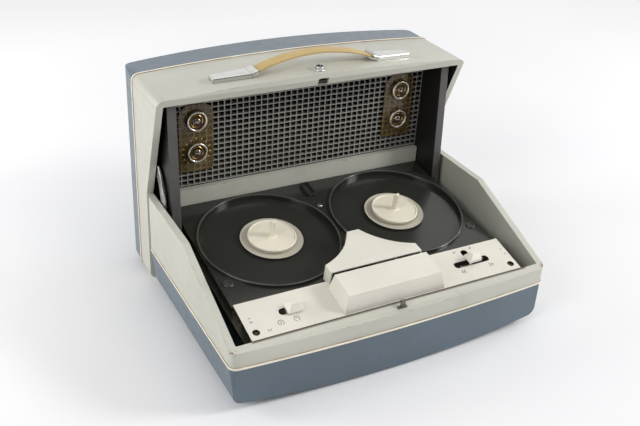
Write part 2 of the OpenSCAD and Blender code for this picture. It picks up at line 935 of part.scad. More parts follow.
module pinch_arm() {
  run = [capstan_x - pinch_p[0], roller_v - pinch_p[1]];
  reach = sqrt(run[0] * run[0] + run[1] * run[1]);
  lead = atan2(run[1], run[0]);
  color("silver") case() deck()
    translate([pinch_p[0], pinch_p[1], -4])
      rotate([0, 0, lead])
        difference() {
          union() {
            cylinder(r = 6, h = 3);
            translate([0, -4.5, 0]) cube([reach, 9, 3]);
            translate([reach, 0, 0]) cylinder(r = 4.5, h = 3);
            translate([reach, 0, 3]) cylinder(r = 2, h = 14);
            cylinder(r = 4.5, h = 9);
          }
          translate([0, 0, -1]) cylinder(r = 2.5 + run_fit, h = 12);
        }
}

module pinch_roller() {
  color("#222222") case() deck()
    translate([capstan_x, roller_v, -0.5])
      difference() {
        cylinder(r = roller_r, h = 13);
        translate([0, 0, -1]) cylinder(r = 2 + run_fit, h = 16);
      }
}

module lock_striker() {
  color("silver") case()
    difference() {
      union() {
        translate([-3, -0.4, rim_h - 2]) cube([6, 2, 12]);
        translate([-3, -0.4, rim_h + 7.5]) cube([6, 3.4, 2.5]);
        translate([-6, -0.8, rim_h - 2]) cube([12, 4.4, 4]);
      }
      along_x(-20, 20) rim_line(0);
    }
}

// Hinge pin on the inner side of a side board.
module hinge_pin(yz) {
  side = link_mid - link_t / 2;
  pin_x(side - 0.4, wall_in, yz, pin_r);
  pin_x(side - 1.5, side - 0.4, yz, pin_head_r);
  pin_x(link_mid + link_t / 2 + 0.4, wall_in, yz, pin_head_r);
}

module base_hinge_pins() {
  color("silver") case()
    both() hinge_pin(base_pivot);
}

module lid_hinge_pins() {
  color("silver") case()
    both() hinge_pin(lid_pivot);
}

// Centre of the circle through three points.
function bend_centre(a, b, c) =
  let (
    d = 2 * (a[0] * (b[1] - c[1]) + b[0] * (c[1] - a[1]) + c[0] * (a[1] - b[1])),
    aa = a * a,
    bb = b * b,
    cc = c * c
  )
  [
    (aa * (b[1] - c[1]) + bb * (c[1] - a[1]) + cc * (a[1] - b[1])) / d,
    (aa * (c[0] - b[0]) + bb * (a[0] - c[0]) + cc * (b[0] - a[0])) / d
  ];

// Crescent link from the lid pivot over the base pivot to its tail.
module link_outline() {
  o = bend_centre(lid_pivot, base_pivot, tail_end);
  r = sqrt((lid_pivot - o) * (lid_pivot - o));
  wide = 3 * r;
  a = lid_pivot - o;
  b = tail_end - o;
  m = base_pivot - o;
  difference() {
    union() {
      intersection() {
        difference() {
          translate(o) circle(r + link_half, $fn = 128);
          translate(o) circle(r - link_half, $fn = 128);
        }
        translate(o) polygon([[0, 0], a * wide / r, m * wide / r, b * wide / r]);
      }
      translate(lid_pivot) circle(link_half + 2);
      translate(base_pivot) circle(link_half + 2);
      translate(tail_end) circle(link_half);
    }
    translate(lid_pivot) circle(pin_r + run_fit);
    translate(base_pivot) circle(pin_r + run_fit);
  }
}

module hinge_links() {
  color("gainsboro") case()
    both()
      along_x(link_mid - link_t / 2, link_mid + link_t / 2) link_outline();
}

// Finned spindle on a hub table with an upright side, over a dished flange.
module hub() {
  table = table_w;
  fin = spindle_r * 0.6;
  reach = sqrt(spindle_r * spindle_r - fin * fin / 4);
  rotate_extrude($fn = 96)
    polygon([
      [0, hub_low], [hub_r - 5, hub_low], [hub_r, hub_low + 2.6], [hub_r - 0.3, hub_low + 3.2],
      [hub_r - 1, hub_low + 3], [hub_r - 4, hub_low + 1.9], [table_r - 2, hub_low + 1.5],
      [table_r - 2, table - 4.6], [table_r, table - 4], [table_r, table - 0.5],
      [table_r - 0.5, table], [table_r - 2, table], [table_r - 2.4, table - 0.5],
      [7, table - 0.5], [6, table], [0, table]
    ]);
  cylinder(r = spindle_r * 0.62, h = table + spindle_h - 0.8);
  for (a = [30, 150, 270])
    rotate([0, 0, a])
      translate([0, -fin / 2, 0])
        cube([reach, fin, table + spindle_h]);
}

module hub_shaft() {
  low = chassis_low - 14 - move_gap - 3;
  collar = chassis_top + 9 + move_gap;
  translate([0, 0, low]) cylinder(r = shaft_r, h = hub_low - low);
  translate([0, 0, low]) cylinder(r = shaft_r + 3, h = 3);
  translate([0, 0, collar]) cylinder(r = shaft_r + 3, h = hub_low - collar);
}

module supply_hub() {
  color("ivory") case() deck() translate([-hub_spread / 2, hub_v, 0]) hub();
}

module supply_shaft() {
  color("silver") case() deck() translate([-hub_spread / 2, hub_v, 0]) hub_shaft();
}

module takeup_hub() {
  color("ivory") case() deck() translate([hub_spread / 2, hub_v, 0]) hub();
}

module takeup_shaft() {
  color("silver") case() deck() translate([hub_spread / 2, hub_v, 0]) hub_shaft();
}

module capstan() {
  color("gainsboro") case() deck()
    translate([capstan_x, cap_v, belt_w - 7]) cylinder(r = capstan_r, h = 15.5 - belt_w + 7);
}

module flywheel() {
  color("gray") case() deck()
    translate([capstan_x, cap_v, belt_w - 7])
      difference() {
        cylinder(r = flywheel_r, h = 14, $fn = 128);
        translate([0, 0, 9])
          difference() {
            cylinder(r = flywheel_r - 8, h = 6, $fn = 128);
            cylinder(r = 10, h = 6);
          }
        translate([0, 0, -1]) cylinder(r = capstan_r, h = 16);
      }
}

module motor_pulley() {
  color("goldenrod") case() deck()
    translate([motor_p[0], motor_p[1], belt_w]) {
      translate([0, 0, -3]) cylinder(r = pulley_r, h = 6);
      translate([0, 0, 3]) cylinder(r = pulley_r + 2, h = 1.5);
      translate([0, 0, -4.5]) cylinder(r = pulley_r + 2, h = 1.5);
      translate([0, 0, -8 - 16]) cylinder(r = 2.5, h = 20);
    }
}

module lid_frame() {
  top = cheek_h + lid_side - piping_h / 2;
  color("lightgray") case()
    difference() {
      lid_open()
        difference() {
          linear_extrude(top) plan_board();
          along_x(-case_w, case_w) rim_line(rim_gap);
        }
      // mortise and bore of the lock
      translate([-7, lid_front - 1, lid_top - 7.7]) cube([14, lock_y + 9, 8.7]);
      translate([0, lock_at, top_z - 12]) cylinder(r = lock_stem + move_gap, h = 16);
    }
}

module lid_shell() {
  h = lid_shell_h - piping_h / 2;
  color("slategray") case() lid_open()
    translate([0, 0, cheek_h + lid_side + piping_h / 2])
      rotate([0, 180, 0])
        difference() {
          tray(h, 0);
          tray(h, shell_wall);
        }
}

module lid_piping() {
  color("wheat") case() lid_open()
    translate([0, 0, cheek_h + lid_side]) piping_ring();
}

module lid_posts() {
  z1 = lid_top - board_t - 2.5;
  z0 = fold_z + 11;
  y0 = baffle_y - post_d;
  lean = 10;
  color("#57544f") case()
    both()
      along_x(post_in, post_out)
        polygon([
          [y0, z1], [baffle_y, z1], [baffle_y, z0], [y0 - lean + 8, z0], [y0 - lean, z0 + 8]
        ]);
}

// Places of the four controls: side and row are -1 or 1.
module knob_place(side, row) {
  translate([side * knob_x, 0, dial_mid + row * knob_pitch / 2 + 3]) children();
}

module knob_places() {
  for (s = [-1, 1])
    for (r = [-1, 1])
      knob_place(s, r) children();
}

module hole_y(r, y0, y1) {
  translate([0, y0, 0]) rotate([-90, 0, 0]) cylinder(r = r, h = y1 - y0);
}

module baffle_board() {
  low = -shell_h + board_t;
  color("saddlebrown") case()
    difference() {
      translate([-post_out, baffle_y, low])
        cube([2 * post_out, baffle_t, lid_top - board_t - low]);
      translate([0, 0, speaker_z]) hole_y(speaker_r - 8, baffle_y - 1, baffle_y + baffle_t + 1);
      knob_places() hole_y(pot_shaft_r + 3.5, baffle_y - 1, baffle_y + baffle_t + 1);
    }
}

module grille_sheet() {
  half = post_in - 0.6;
  low = cheek_h + grille_low;
  cell_w = (2 * half - bar_w) / cells_x;
  cell_h = (grille_h - bar_w) / cells_z;
  difference() {
    translate([-half, low]) square([2 * half, grille_h]);
    for (i = [0 : cells_x - 1])
      for (j = [0 : cells_z - 1])
        translate([bar_w - half + i * cell_w, low + bar_w + j * cell_h])
          square([cell_w - bar_w, cell_h - bar_w]);
    for (s = [-1, 1])
      for (r = [-1, 1])
        translate([s * knob_x, dial_mid + r * knob_pitch / 2 + 3]) circle(pot_shaft_r + 3.5);
  }
}

module grille() {
  color("gainsboro") case()
    along_y(grille_y, grille_y + grille_t) grille_sheet();
}

// Outline of a dial plate from its lower left corner: wide corners above, small ones below.
module dial_outline() {
  wide = 15;
  small = 5;
  translate([0, small]) square([dial_w, dial_h - small - wide]);
  translate([small, 0]) square([dial_w - 2 * small, dial_h / 2]);
  translate([wide, dial_h / 2]) square([dial_w - 2 * wide, dial_h / 2]);
  for (x = [small, dial_w - small])
    translate([x, small]) circle(small);
  for (x = [wide, dial_w - wide])
    translate([x, dial_h - wide]) circle(wide);
}

module dial_plates() {
  color("#8a6a3a") case()
    both()
      difference() {
        along_y(dial_y, grille_y)
          translate([knob_x - dial_w / 2, dial_mid - dial_h / 2])
            dial_outline();
        for (r = [-1, 1])
          knob_place(1, r) hole_y(pot_shaft_r + 3.5, dial_y - 1, grille_y + 1);
      }
}

module potentiometers() {
  y0 = baffle_y + baffle_t;
  color("silver") case()
    knob_places()
      difference() {
        union() {
          hole_y(12, y0, y0 + 11);
          translate([-9, y0 + 2, -20]) cube([18, 2, 12]);
        }
        hole_y(pot_shaft_r + run_fit, y0 - 1, y0 + 9);
      }
}

// Knob with a rounded rim, a dished face, a small dome and a pointer bead.
module knob(side, row) {
  d = knob_d;
  color("gainsboro") case()
    knob_place(side, row) {
      turned_y(0, knob_y, 0) {
        polygon([
          [0, 0], [knob_r - 1, 0], [knob_r, -1], [knob_r, -d * 0.55], [knob_r - 2.4, -d * 0.55],
          [knob_r - 5, -d * 0.35], [6, -d * 0.5], [5.4, -d * 0.85], [3.6, -d * 0.98], [0, -d]
        ]);
        translate([knob_r - 1.3, -d * 0.55]) circle(1.3, $fn = 24);
      }
      translate([0, 0, 8.5]) hole_y(0.9, knob_y - d * 0.75, knob_y - d * 0.3);
      hole_y(pot_shaft_r + 2, knob_y, baffle_y - 3);
      hole_y(pot_shaft_r, knob_y, baffle_y + baffle_t + 8.5);
    }
}

module knob_upper_left() {
  knob(-1, 1);
}

module knob_lower_left() {
  knob(-1, -1);
}

module knob_upper_right() {
  knob(1, 1);
}

module knob_lower_right() {
  knob(1, -1);
}

module speaker_basket() {
  y0 = baffle_y + baffle_t;
  r = speaker_r;
  color("dimgray") case()
    turned_y(0, y0, speaker_z)
      polygon([
        [r - 6, 0], [r + 2, 0], [r + 2, 3], [r - 3, 5], [30, 38], [30, 52], [0, 52], [0, 36],
        [28, 36], [r - 9, 5], [r - 10, 1.5], [r - 6, 1.5]
      ]);
}

module speaker_cone() {
  y0 = baffle_y + baffle_t;
  r = speaker_r;
  color("#33302c") case()
    turned_y(0, y0, speaker_z)
      polygon([
        [r - 6.2, 0.5], [r - 6.2, 1.5], [r - 12, 1.5], [14, 30], [0, 26], [0, 24.5], [13.5, 28.5],
        [r - 13, 0.5]
      ]);
}

module amplifier() {
  y0 = baffle_y + baffle_t;
  color("silver") case()
    difference() {
      translate([-amp_half, y0, -30]) cube([2 * amp_half, 48, 30]);
      translate([1.5 - amp_half, y0 + 1.5, -31]) cube([2 * amp_half - 3, 45, 29.5]);
    }
}

module valves() {
  y0 = baffle_y + baffle_t + 25;
  color("lightblue") case()
    for (i = [-3, -1, 1, 3])
      translate([i * amp_half / 4.375, y0, 0])
        rotate_extrude()
          polygon([[0, 0], [11, 0], [11, 44], [9, 49], [4, 52], [1.5, 57], [0, 57]]);
}

// Strap handle: bowed strip between its caps.
// Arched band from cap to cap, along the strap's middle line.
module strap_band(thick, wide) {
  translate([0, lid_front + strap_y, strap_mid])
    rotate([90, 0, 0])
      rotate_extrude($fn = 360)
        translate([strap_arc - thick / 2, -wide / 2]) square([thick, wide]);
}

module strap_handle() {
  color("burlywood") case()
    intersection() {
      strap_band(strap_t, strap_w);
      translate([-strap_l / 2, lid_front, lid_top - 20]) cube([strap_l, 100, 100]);
    }
}

// One slanting side of an end cap, with its rounded upper edge.
module cap_side(wide) {
  taper = atan((wide - cap_tip) / (2 * cap_l));
  rotate([0, 0, taper])
    along_x(-cap_l, cap_l)
      translate([-(wide + cap_tip) / 4, -cap_h]) round_rect(3 * wide, 2 * cap_h, 2.5);
}

// End caps of the strap, narrower outward and tilted with the bow of the lid.
// A raised collar leads the strap out of each.
module handle_caps() {
  mid = strap_l / 2 + cap_l / 2;
  slope = asin(mid / bow_r);
  seat = top_z - bow_at(mid);
  wide = strap_w + 3;
  mouth = strap_l / 2 - 3.8;
  lead = asin(mouth / strap_arc);
  color("gainsboro") case()
    both()
      difference() {
        union() {
          translate([mid, lid_front + strap_y, seat + 0.03])
            rotate([0, slope, 0])
              intersection() {
                translate([-cap_l / 2 + 0.2, -wide, 0]) cube([cap_l, 2 * wide, 2 * cap_h]);
                along_y(-wide, wide)
                  translate([-cap_l / 2, -cap_h]) round_rect(cap_l, 2 * cap_h, 3);
                cap_side(wide);
                mirror([0, 1, 0]) cap_side(wide);
              }
          intersection() {
            translate([mouth, lid_front + strap_y, strap_mid + strap_arc * cos(lead)])
              rotate([0, lead, 0])
                along_x(-4.5, 5.2)
                  translate([-wide / 2 - 0.4, -3.4]) round_rect(wide + 0.8, 6.8, 2);
            translate([0, lid_front, top_z - bow_at(mouth - 6) + 0.1]) cube([strap_l, 100, 40]);
          }
        }
        intersection() {
          strap_band(strap_t + 0.3, strap_w + 0.3);
          translate([-1, lid_front, lid_top - 20]) cube([strap_l / 2 + 1.1, 100, 100]);
        }
      }
}

module lock_bezel() {
  color("gainsboro") case()
    translate([0, lock_at, top_z + 0.03])
      rotate_extrude()
        polygon([
          [lock_r + move_gap, 0], [lock_r + 3, 0], [lock_r + 2.6, 1], [lock_r + 1.9, 1.4],
          [lock_r + 1.9, 4.6], [lock_r + 1.4, 5.2], [lock_r + move_gap, 5.2]
        ]);
}

module lock_button() {
  seat = top_z - front_bow - 3.6;
  color("silver") case() {
    translate([0, lock_at, top_z + lock_run + 0.4]) cylinder(r = lock_r, h = 1.2);
    translate([0, lock_at, seat]) cylinder(r = lock_stem, h = top_z + lock_run + 0.4 - seat);
    translate([-5.6, lock_at - 4.4, seat - 1.2]) cube([11.2, 9, 1.2]);
    both() translate([3.6, lid_front + 3, seat - 1.2]) cube([2, lock_y - 5, 1.2]);
    translate([-5.6, lid_front + 3, seat - 1.2]) cube([11.2, 3, 2.6]);
  }
}

base_shell();
base_piping();
base_frame();
base_feet();
chassis_plate();
deck_spacers();
deck_plate();
head_cover();
front_cover();
control_plate();
plate_pillars();
plate_screws();
deck_plugs();
tape_clip();
tape_heads();
tape_guides();
hub_bearings();
capstan_bearing();
motor();
drive_belt();
mains_transformer();
stick_bracket();
slide_guide();
pinch_post();
lock_striker();
base_hinge_pins();
supply_hub();
supply_shaft();
takeup_hub();
takeup_shaft();
capstan();
flywheel();
motor_pulley();
pinch_arm();
pinch_roller();
stick_gimbal();
stick_lever();
slide_lever();
hinge_links();
lid_frame();
lid_shell();
lid_piping();
lid_posts();
baffle_board();
grille();
dial_plates();
potentiometers();
speaker_basket();
speaker_cone();
amplifier();
valves();
strap_handle();
handle_caps();
lock_bezel();
lid_hinge_pins();
knob_upper_left();
knob_lower_left();
knob_upper_right();
knob_lower_right();
lock_button();
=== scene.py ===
import math

import bpy
from bpy.props import FloatProperty, FloatVectorProperty, IntProperty, PointerProperty
from mathutils import Matrix, Vector


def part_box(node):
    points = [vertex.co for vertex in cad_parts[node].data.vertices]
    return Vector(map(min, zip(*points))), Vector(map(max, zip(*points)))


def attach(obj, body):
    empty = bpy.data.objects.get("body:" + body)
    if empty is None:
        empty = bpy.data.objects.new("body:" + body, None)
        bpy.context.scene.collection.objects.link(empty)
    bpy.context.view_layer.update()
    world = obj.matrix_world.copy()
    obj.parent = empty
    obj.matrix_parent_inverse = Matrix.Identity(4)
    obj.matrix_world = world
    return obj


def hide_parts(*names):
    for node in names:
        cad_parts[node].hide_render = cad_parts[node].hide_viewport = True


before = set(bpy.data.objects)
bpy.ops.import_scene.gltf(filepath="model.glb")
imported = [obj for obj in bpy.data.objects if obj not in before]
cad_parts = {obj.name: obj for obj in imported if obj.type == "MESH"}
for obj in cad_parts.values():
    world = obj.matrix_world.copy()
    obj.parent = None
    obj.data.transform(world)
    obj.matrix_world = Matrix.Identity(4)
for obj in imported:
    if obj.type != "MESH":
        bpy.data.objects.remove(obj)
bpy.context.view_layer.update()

bl_info = {
    "name": "Portable tape recorder",
    "version": (1, 0, 0),
    "blender": (4, 5, 0),
    "location": "View3D > Sidebar > Tape recorder",
    "description": "Finishes, knobs, strap and printed marks of a portable tape recorder",
    "category": "Object",
}

MM = 0.001
DECK_TILT = math.radians(8)
PLATE_TILT = math.radians(13)
# Cells of the grille across and up, the width of its bars, and the blur of their painted lines on the amber,
# in cells
GRILLE_CELLS = (44, 17)
GRILLE_BAR = 0.0014
BAR_BLUR = 0.08


def paint(red, green, blue):
    """Scene colour of a paint chip given in 0 to 255."""
    chip = (red / 255, green / 255, blue / 255)
    return tuple(c / 12.92 if c < 0.04045 else ((c + 0.055) / 1.055) ** 2.4 for c in chip)


# Places

# Middle of the case's front corners at the base piping, and from there where deck and control plate begin
CASE_ORIGIN = (0, -0.17885, 0.063)
DECK_EDGE = (0, 0, 0.0225)
PLATE_EDGE = (0, 0.0130, 0.0215)
CASE = Matrix.Translation(CASE_ORIGIN)
# Plane of the bead tops on the deck, and of the control plate's top
DECK = CASE @ Matrix.Translation(DECK_EDGE) @ Matrix.Rotation(DECK_TILT, 4, "X")
PLATE = CASE @ Matrix.Translation(PLATE_EDGE) @ Matrix.Rotation(PLATE_TILT, 4, "X")


def case_at(x, y, z):
    """Point in metres from millimetres in the case: front corners y 0, piping z 0."""
    return CASE @ (Vector((x, y, z)) * MM)


# Modelling helpers

# Points nearer than this are merged, and edges shorter than this are dissolved
MERGE = 2e-6
NO_LENGTH = 1e-7
# Angles up to which faces are shaded smooth, are one flat face, and have no edge to round
SMOOTH = math.radians(35)
FLAT = math.radians(0.6)
SHARP = math.radians(28)
ROUND_SEGMENTS = 3


def clear_hands():
    """Leaves edit mode and selects nothing."""
    if bpy.context.object and bpy.context.object.mode != "OBJECT":
        bpy.ops.object.mode_set(mode="OBJECT")
    bpy.ops.object.select_all(action="DESELECT")


def take(name):
    """Names the piece that was just added, and returns it."""
    piece = bpy.context.object
    piece.name = name
    piece.data.name = name
    return piece


def only(piece):
    """Selects one piece and makes it the active one."""
    clear_hands()
    piece.select_set(True)
    bpy.context.view_layer.objects.active = piece


def settle(piece, matrix, angle=SMOOTH):
    """Puts a piece's place into its mesh and shades it smooth up to an angle."""
    only(piece)
    bpy.ops.object.transform_apply(location=True, rotation=True, scale=True)
    piece.data.transform(matrix)
    bpy.ops.object.mode_set(mode="EDIT")
    bpy.ops.mesh.select_all(action="SELECT")
    bpy.ops.mesh.remove_doubles(threshold=MERGE)
    bpy.ops.mesh.normals_make_consistent(inside=False)
    bpy.ops.object.mode_set(mode="OBJECT")
    bpy.ops.object.shade_smooth_by_angle(angle=angle)


def join(pieces, name):
    """Joins pieces into one object."""
    clear_hands()
    for piece in pieces:
        piece.select_set(True)
    bpy.context.view_layer.objects.active = pieces[0]
    bpy.ops.object.join()
    return take(name)


def twin(piece, name):
    """Copy of a modelled piece with a mesh of its own."""
    only(piece)
    bpy.ops.object.duplicate(linked=False)
    return take(name)


def turned(name, points, axis, steps):
    """Spins a closed half section, given as points, into a ring or a solid of revolution."""
    clear_hands()
    bpy.ops.mesh.primitive_circle_add(vertices=len(points))
    piece = take(name)
    for vertex, point in zip(piece.data.vertices, points):
        vertex.co = point
    only(piece)
    bpy.ops.object.mode_set(mode="EDIT")
    bpy.ops.mesh.select_all(action="SELECT")
    bpy.ops.mesh.spin(steps=steps, angle=math.tau, center=(0, 0, 0), axis=axis)
    bpy.ops.mesh.select_all(action="SELECT")
    bpy.ops.mesh.remove_doubles(threshold=MERGE)
    bpy.ops.mesh.dissolve_degenerate(threshold=NO_LENGTH)
    bpy.ops.object.mode_set(mode="OBJECT")
    return piece


def dress(material, *nodes):
    """Gives CAD nodes a finish."""
    for name in nodes:
        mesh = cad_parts[name].data
        mesh.materials.clear()
        mesh.materials.append(material)
        mesh.polygons.foreach_set("material_index", [0] * len(mesh.polygons))


def round_edges(width, *nodes):
    """Rounds the sharp edges of CAD nodes, as a mould or a sanding block leaves them."""
    for name in nodes:
        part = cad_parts[name]
        weld = part.modifiers.new("join_triangles", "WELD")
        weld.merge_threshold = MERGE
        flat = part.modifiers.new("flat_faces", "DECIMATE")
        flat.decimate_type = "DISSOLVE"
        flat.angle_limit = FLAT
        edge = part.modifiers.new("round_edges", "BEVEL")
        edge.width = width
        edge.segments = ROUND_SEGMENTS
        edge.limit_method = "ANGLE"
        edge.angle_limit = SHARP
        edge.harden_normals = True


# Finish helpers

# Range of a cloudy pattern that holds nearly all of it
CLOUD_RANGE = (0.3, 0.7)
# Depth of the fine grain of plastic, metal and hide, and of polish, brush strokes and bare wood
GRAIN = 0.0002
POLISH = 0.0001
BRUSH_STROKES = 0.0003
WOOD_GRAIN = 0.0004


def new_finish(name, colour, rough, metal=0.0):
    """Material, its node tree, its shader and its Object coordinates."""
    material = bpy.data.materials.new(name)
    material.use_nodes = True
    tree = material.node_tree
    shader = tree.nodes["Principled BSDF"]
    shader.inputs["Base Color"].default_value = (*colour, 1)
    shader.inputs["Roughness"].default_value = rough
    shader.inputs["Metallic"].default_value = metal
    place = tree.nodes.new("ShaderNodeTexCoord").outputs["Object"]
    return material, tree, shader, place


def noise(tree, place, scale, detail, stretch=None):
    """Cloudy pattern; the scale is in clouds to the metre."""
    if stretch:
        turn = tree.nodes.new("ShaderNodeMapping")
        turn.inputs["Scale"].default_value = stretch
        tree.links.new(place, turn.inputs["Vector"])
        place = turn.outputs["Vector"]
    node = tree.nodes.new("ShaderNodeTexNoise")
    node.inputs["Scale"].default_value = scale
    node.inputs["Detail"].default_value = detail
    tree.links.new(place, node.inputs["Vector"])
    return node.outputs[0]


def grade(tree, value, low, high, to_low=0.0, to_high=1.0):
    """Maps a pattern's range to another, clamped."""
    node = tree.nodes.new("ShaderNodeMapRange")
    for key, number in zip(("From Min", "From Max", "To Min", "To Max"), (low, high, to_low, to_high)):
        node.inputs[key].default_value = number
    tree.links.new(value, node.inputs["Value"])
    return node.outputs["Result"]


def cloudy(tree, place, scale, detail, to_low=0.0, to_high=1.0):
    """Soft clouds over the whole piece, between two values."""
    return grade(tree, noise(tree, place, scale, detail), *CLOUD_RANGE, to_low, to_high)


def math_of(tree, kind, first, second=None):
    """Result of one calculation with outputs or numbers."""
    node = tree.nodes.new("ShaderNodeMath")
    node.operation = kind
    for socket, value in zip(node.inputs, (first, second)):
        if value is None:
            continue
        if isinstance(value, (int, float)):
            socket.default_value = value
        else:
            tree.links.new(value, socket)
    return node.outputs[0]


def times(tree, first, second):
    """Product of two outputs or numbers."""
    return math_of(tree, "MULTIPLY", first, second)


def mix(tree, share, first, second):
    """Colour between two colours or colour outputs."""
    node = tree.nodes.new("ShaderNodeMix")
    node.data_type = "RGBA"
    tree.links.new(share, node.inputs[0])
    for socket, value in ((node.inputs[6], first), (node.inputs[7], second)):
        if isinstance(value, tuple):
            socket.default_value = (*value, 1)
        else:
            tree.links.new(value, socket)
    return node.outputs[2]


def bump(tree, shader, height, depth, strength):
    """Surface relief of a pattern; the depth is in metres."""
    node = tree.nodes.new("ShaderNodeBump")
    node.inputs["Distance"].default_value = depth
    node.inputs["Strength"].default_value = strength
    tree.links.new(height, node.inputs["Height"])
    tree.links.new(node.outputs["Normal"], shader.inputs["Normal"])


def tint(colour, factor):
    """Lighter or darker shade of a colour."""
    return tuple(min(1.0, c * factor) for c in colour)


def lay_over(material, share, colour):
    """Lays a colour over a finish, by a share."""
    tree = material.node_tree
    socket = tree.nodes["Principled BSDF"].inputs["Base Color"]
    tree.links.new(mix(tree, share, socket.links[0].from_socket, colour), socket)


def edge_mask(tree, place, radius, low, high):
    """Worn places along sharp edges, broken up by a cloudy pattern."""
    soft = tree.nodes.new("ShaderNodeBevel")
    soft.samples = 6
    soft.inputs["Radius"].default_value = radius
    here = tree.nodes.new("ShaderNodeNewGeometry")
    dot = tree.nodes.new("ShaderNodeVectorMath")
    dot.operation = "DOT_PRODUCT"
    tree.links.new(soft.outputs["Normal"], dot.inputs[0])
    tree.links.new(here.outputs["Normal"], dot.inputs[1])
    edge = grade(tree, dot.outputs["Value"], 0.995, 0.93)
    patches = grade(tree, noise(tree, place, 60, 6), low, high)
    return times(tree, edge, patches)


def axis_of(tree, place, axis):
    """One of the three parts of a vector output."""
    node = tree.nodes.new("ShaderNodeSeparateXYZ")
    tree.links.new(place, node.inputs[0])
    return node.outputs[axis]


def height_over(tree, plane):
    """Distance in metres in front of a tilted plane, from Object coordinates."""
    normal = plane.to_3x3() @ Vector((0, 0, 1))
    node = tree.nodes.new("ShaderNodeVectorMath")
    node.operation = "DOT_PRODUCT"
    node.inputs[1].default_value = normal
    tree.links.new(tree.nodes.new("ShaderNodeTexCoord").outputs["Object"], node.inputs[0])
    return math_of(tree, "SUBTRACT", node.outputs["Value"], normal.dot(plane.translation))


# Settings


class CaseLooks(bpy.types.PropertyGroup):
    """Colours and edges of the carrying case."""

    shell: FloatVectorProperty(
        name="Shell", description="Colour of the two moulded shells", subtype="COLOR",
        size=3, min=0, max=1, default=paint(86, 102, 114))
    board: FloatVectorProperty(
        name="Frame", description="Paint of the wooden frames", subtype="COLOR",
        size=3, min=0, max=1, default=paint(197, 196, 184))
    piping: FloatVectorProperty(
        name="Piping", description="Colour of the piping", subtype="COLOR",
        size=3, min=0, max=1, default=paint(250, 242, 222))
    edge: FloatProperty(
        name="Edge", description="Radius of the sanded frame edges", unit="LENGTH",
        min=0.0002, max=0.002, default=0.0009)


class DeckLooks(bpy.types.PropertyGroup):
    """Colours of the deck, its covers and its hubs."""

    deck: FloatVectorProperty(
        name="Deck", description="Colour of the moulded deck", subtype="COLOR",
        size=3, min=0, max=1, default=paint(46, 47, 43))
    cover: FloatVectorProperty(
        name="Covers", description="Colour of covers and control plate", subtype="COLOR",
        size=3, min=0, max=1, default=paint(226, 222, 210))
    hub: FloatVectorProperty(
        name="Hubs", description="Colour of the two hubs", subtype="COLOR",
        size=3, min=0, max=1, default=paint(240, 233, 214))
    marks: FloatVectorProperty(
        name="Marks", description="Colour of the printed marks", subtype="COLOR",
        size=3, min=0, max=1, default=paint(92, 86, 80))
    edge: FloatProperty(
        name="Edge", description="Radius of the moulded edges", unit="LENGTH",
        min=0.0002, max=0.0015, default=0.0007)


class LidLooks(bpy.types.PropertyGroup):
    """Colours of the loudspeaker side and shape of its knobs."""

    grille: FloatVectorProperty(
        name="Grille", description="Colour of the grille", subtype="COLOR",
        size=3, min=0, max=1, default=paint(152, 150, 143))
    amber: FloatVectorProperty(
        name="Dial plates", description="Tint of the clear dial plates", subtype="COLOR",
        size=3, min=0, max=1, default=paint(86, 70, 42))
    post: FloatVectorProperty(
        name="Posts", description="Paint of the hinge posts", subtype="COLOR",
        size=3, min=0, max=1, default=paint(84, 82, 80))
    knob_radius: FloatProperty(
        name="Knob radius", description="Radius of a knob over its rim", unit="LENGTH",
        min=0.010, max=0.014, default=0.0139)
    ticks: IntProperty(
        name="Ticks", description="Marks round the scaled knob", min=5, max=24, default=13)


class StrapLooks(bpy.types.PropertyGroup):
    """Shape and colour of the strap handle."""

    colour: FloatVectorProperty(
        name="Strap", description="Colour of the strap", subtype="COLOR",
        size=3, min=0, max=1, default=paint(197, 170, 109))
    width: FloatProperty(
        name="Width", description="Width of the strap", unit="LENGTH",
        min=0.016, max=0.0195, default=0.0194)
    thickness: FloatProperty(
        name="Thickness", description="Thickness of the strap", unit="LENGTH",
        min=0.002, max=0.003, default=0.0029)


class StageLooks(bpy.types.PropertyGroup):
    """Camera and light of the studio."""

    lens: FloatProperty(
        name="Lens", description="Focal length of the camera in millimetres", unit="CAMERA",
        min=20, max=120, default=49.47)
    sky: FloatProperty(
        name="Sky", description="Strength of the even light", min=0, max=2, default=0.44)
    key: FloatProperty(
        name="Key", description="Power of the lamp at the right, in watts", subtype="POWER",
        min=0, max=200, default=17)
    fill: FloatProperty(
        name="Fill", description="Power of the lamp behind at the left, in watts", subtype="POWER",
        min=0, max=200, default=10)
    glint: FloatProperty(
        name="Glint", description="Power of the small lamp at the right, in watts", subtype="POWER",
        min=0, max=200, default=3)
    left: FloatProperty(
        name="Left", description="Power of the high lamp at the left, in watts", subtype="POWER",
        min=0, max=200, default=7)
    top: FloatProperty(
        name="Top", description="Power of the large lamp above, in watts", subtype="POWER",
        min=0, max=200, default=4)
    glow: FloatProperty(
        name="Floor glow", description="Light that the floor paper adds to the picture", subtype="FACTOR",
        min=0, max=1, default=0.02)
    glow_far: FloatProperty(
        name="Far glow", description="The same light a metre away from the case", subtype="FACTOR",
        min=0, max=1, default=0.28)


# Finishes

# Colours of dirt, wear and age, and of painted shade and painted light
GLUE = paint(140, 104, 62)
STAIN = paint(150, 140, 118)
# painted shade for the inward faces of the lid frame
INNER_SHADE_COLOUR = paint(44, 43, 41)
# painted shade for the shadowed gap along the seam before the control plate
SEAM_SHADE = paint(84, 72, 54)
CHIPPED_PAINT = paint(138, 100, 66)
WORN_PAINT = paint(126, 108, 86)
# painted shade for the shadowed gap under the control plate's front edge
EDGE_SHADE = paint(58, 48, 36)
# painted highlight on the bead crests
BEAD_HIGHLIGHT = paint(92, 92, 87)
BRIGHT_SCREW = paint(176, 172, 164)
CAP_EDGE_DARK = paint(70, 68, 64)
BLACK_STAIN = paint(4, 4, 3)
RUST = paint(112, 78, 54)
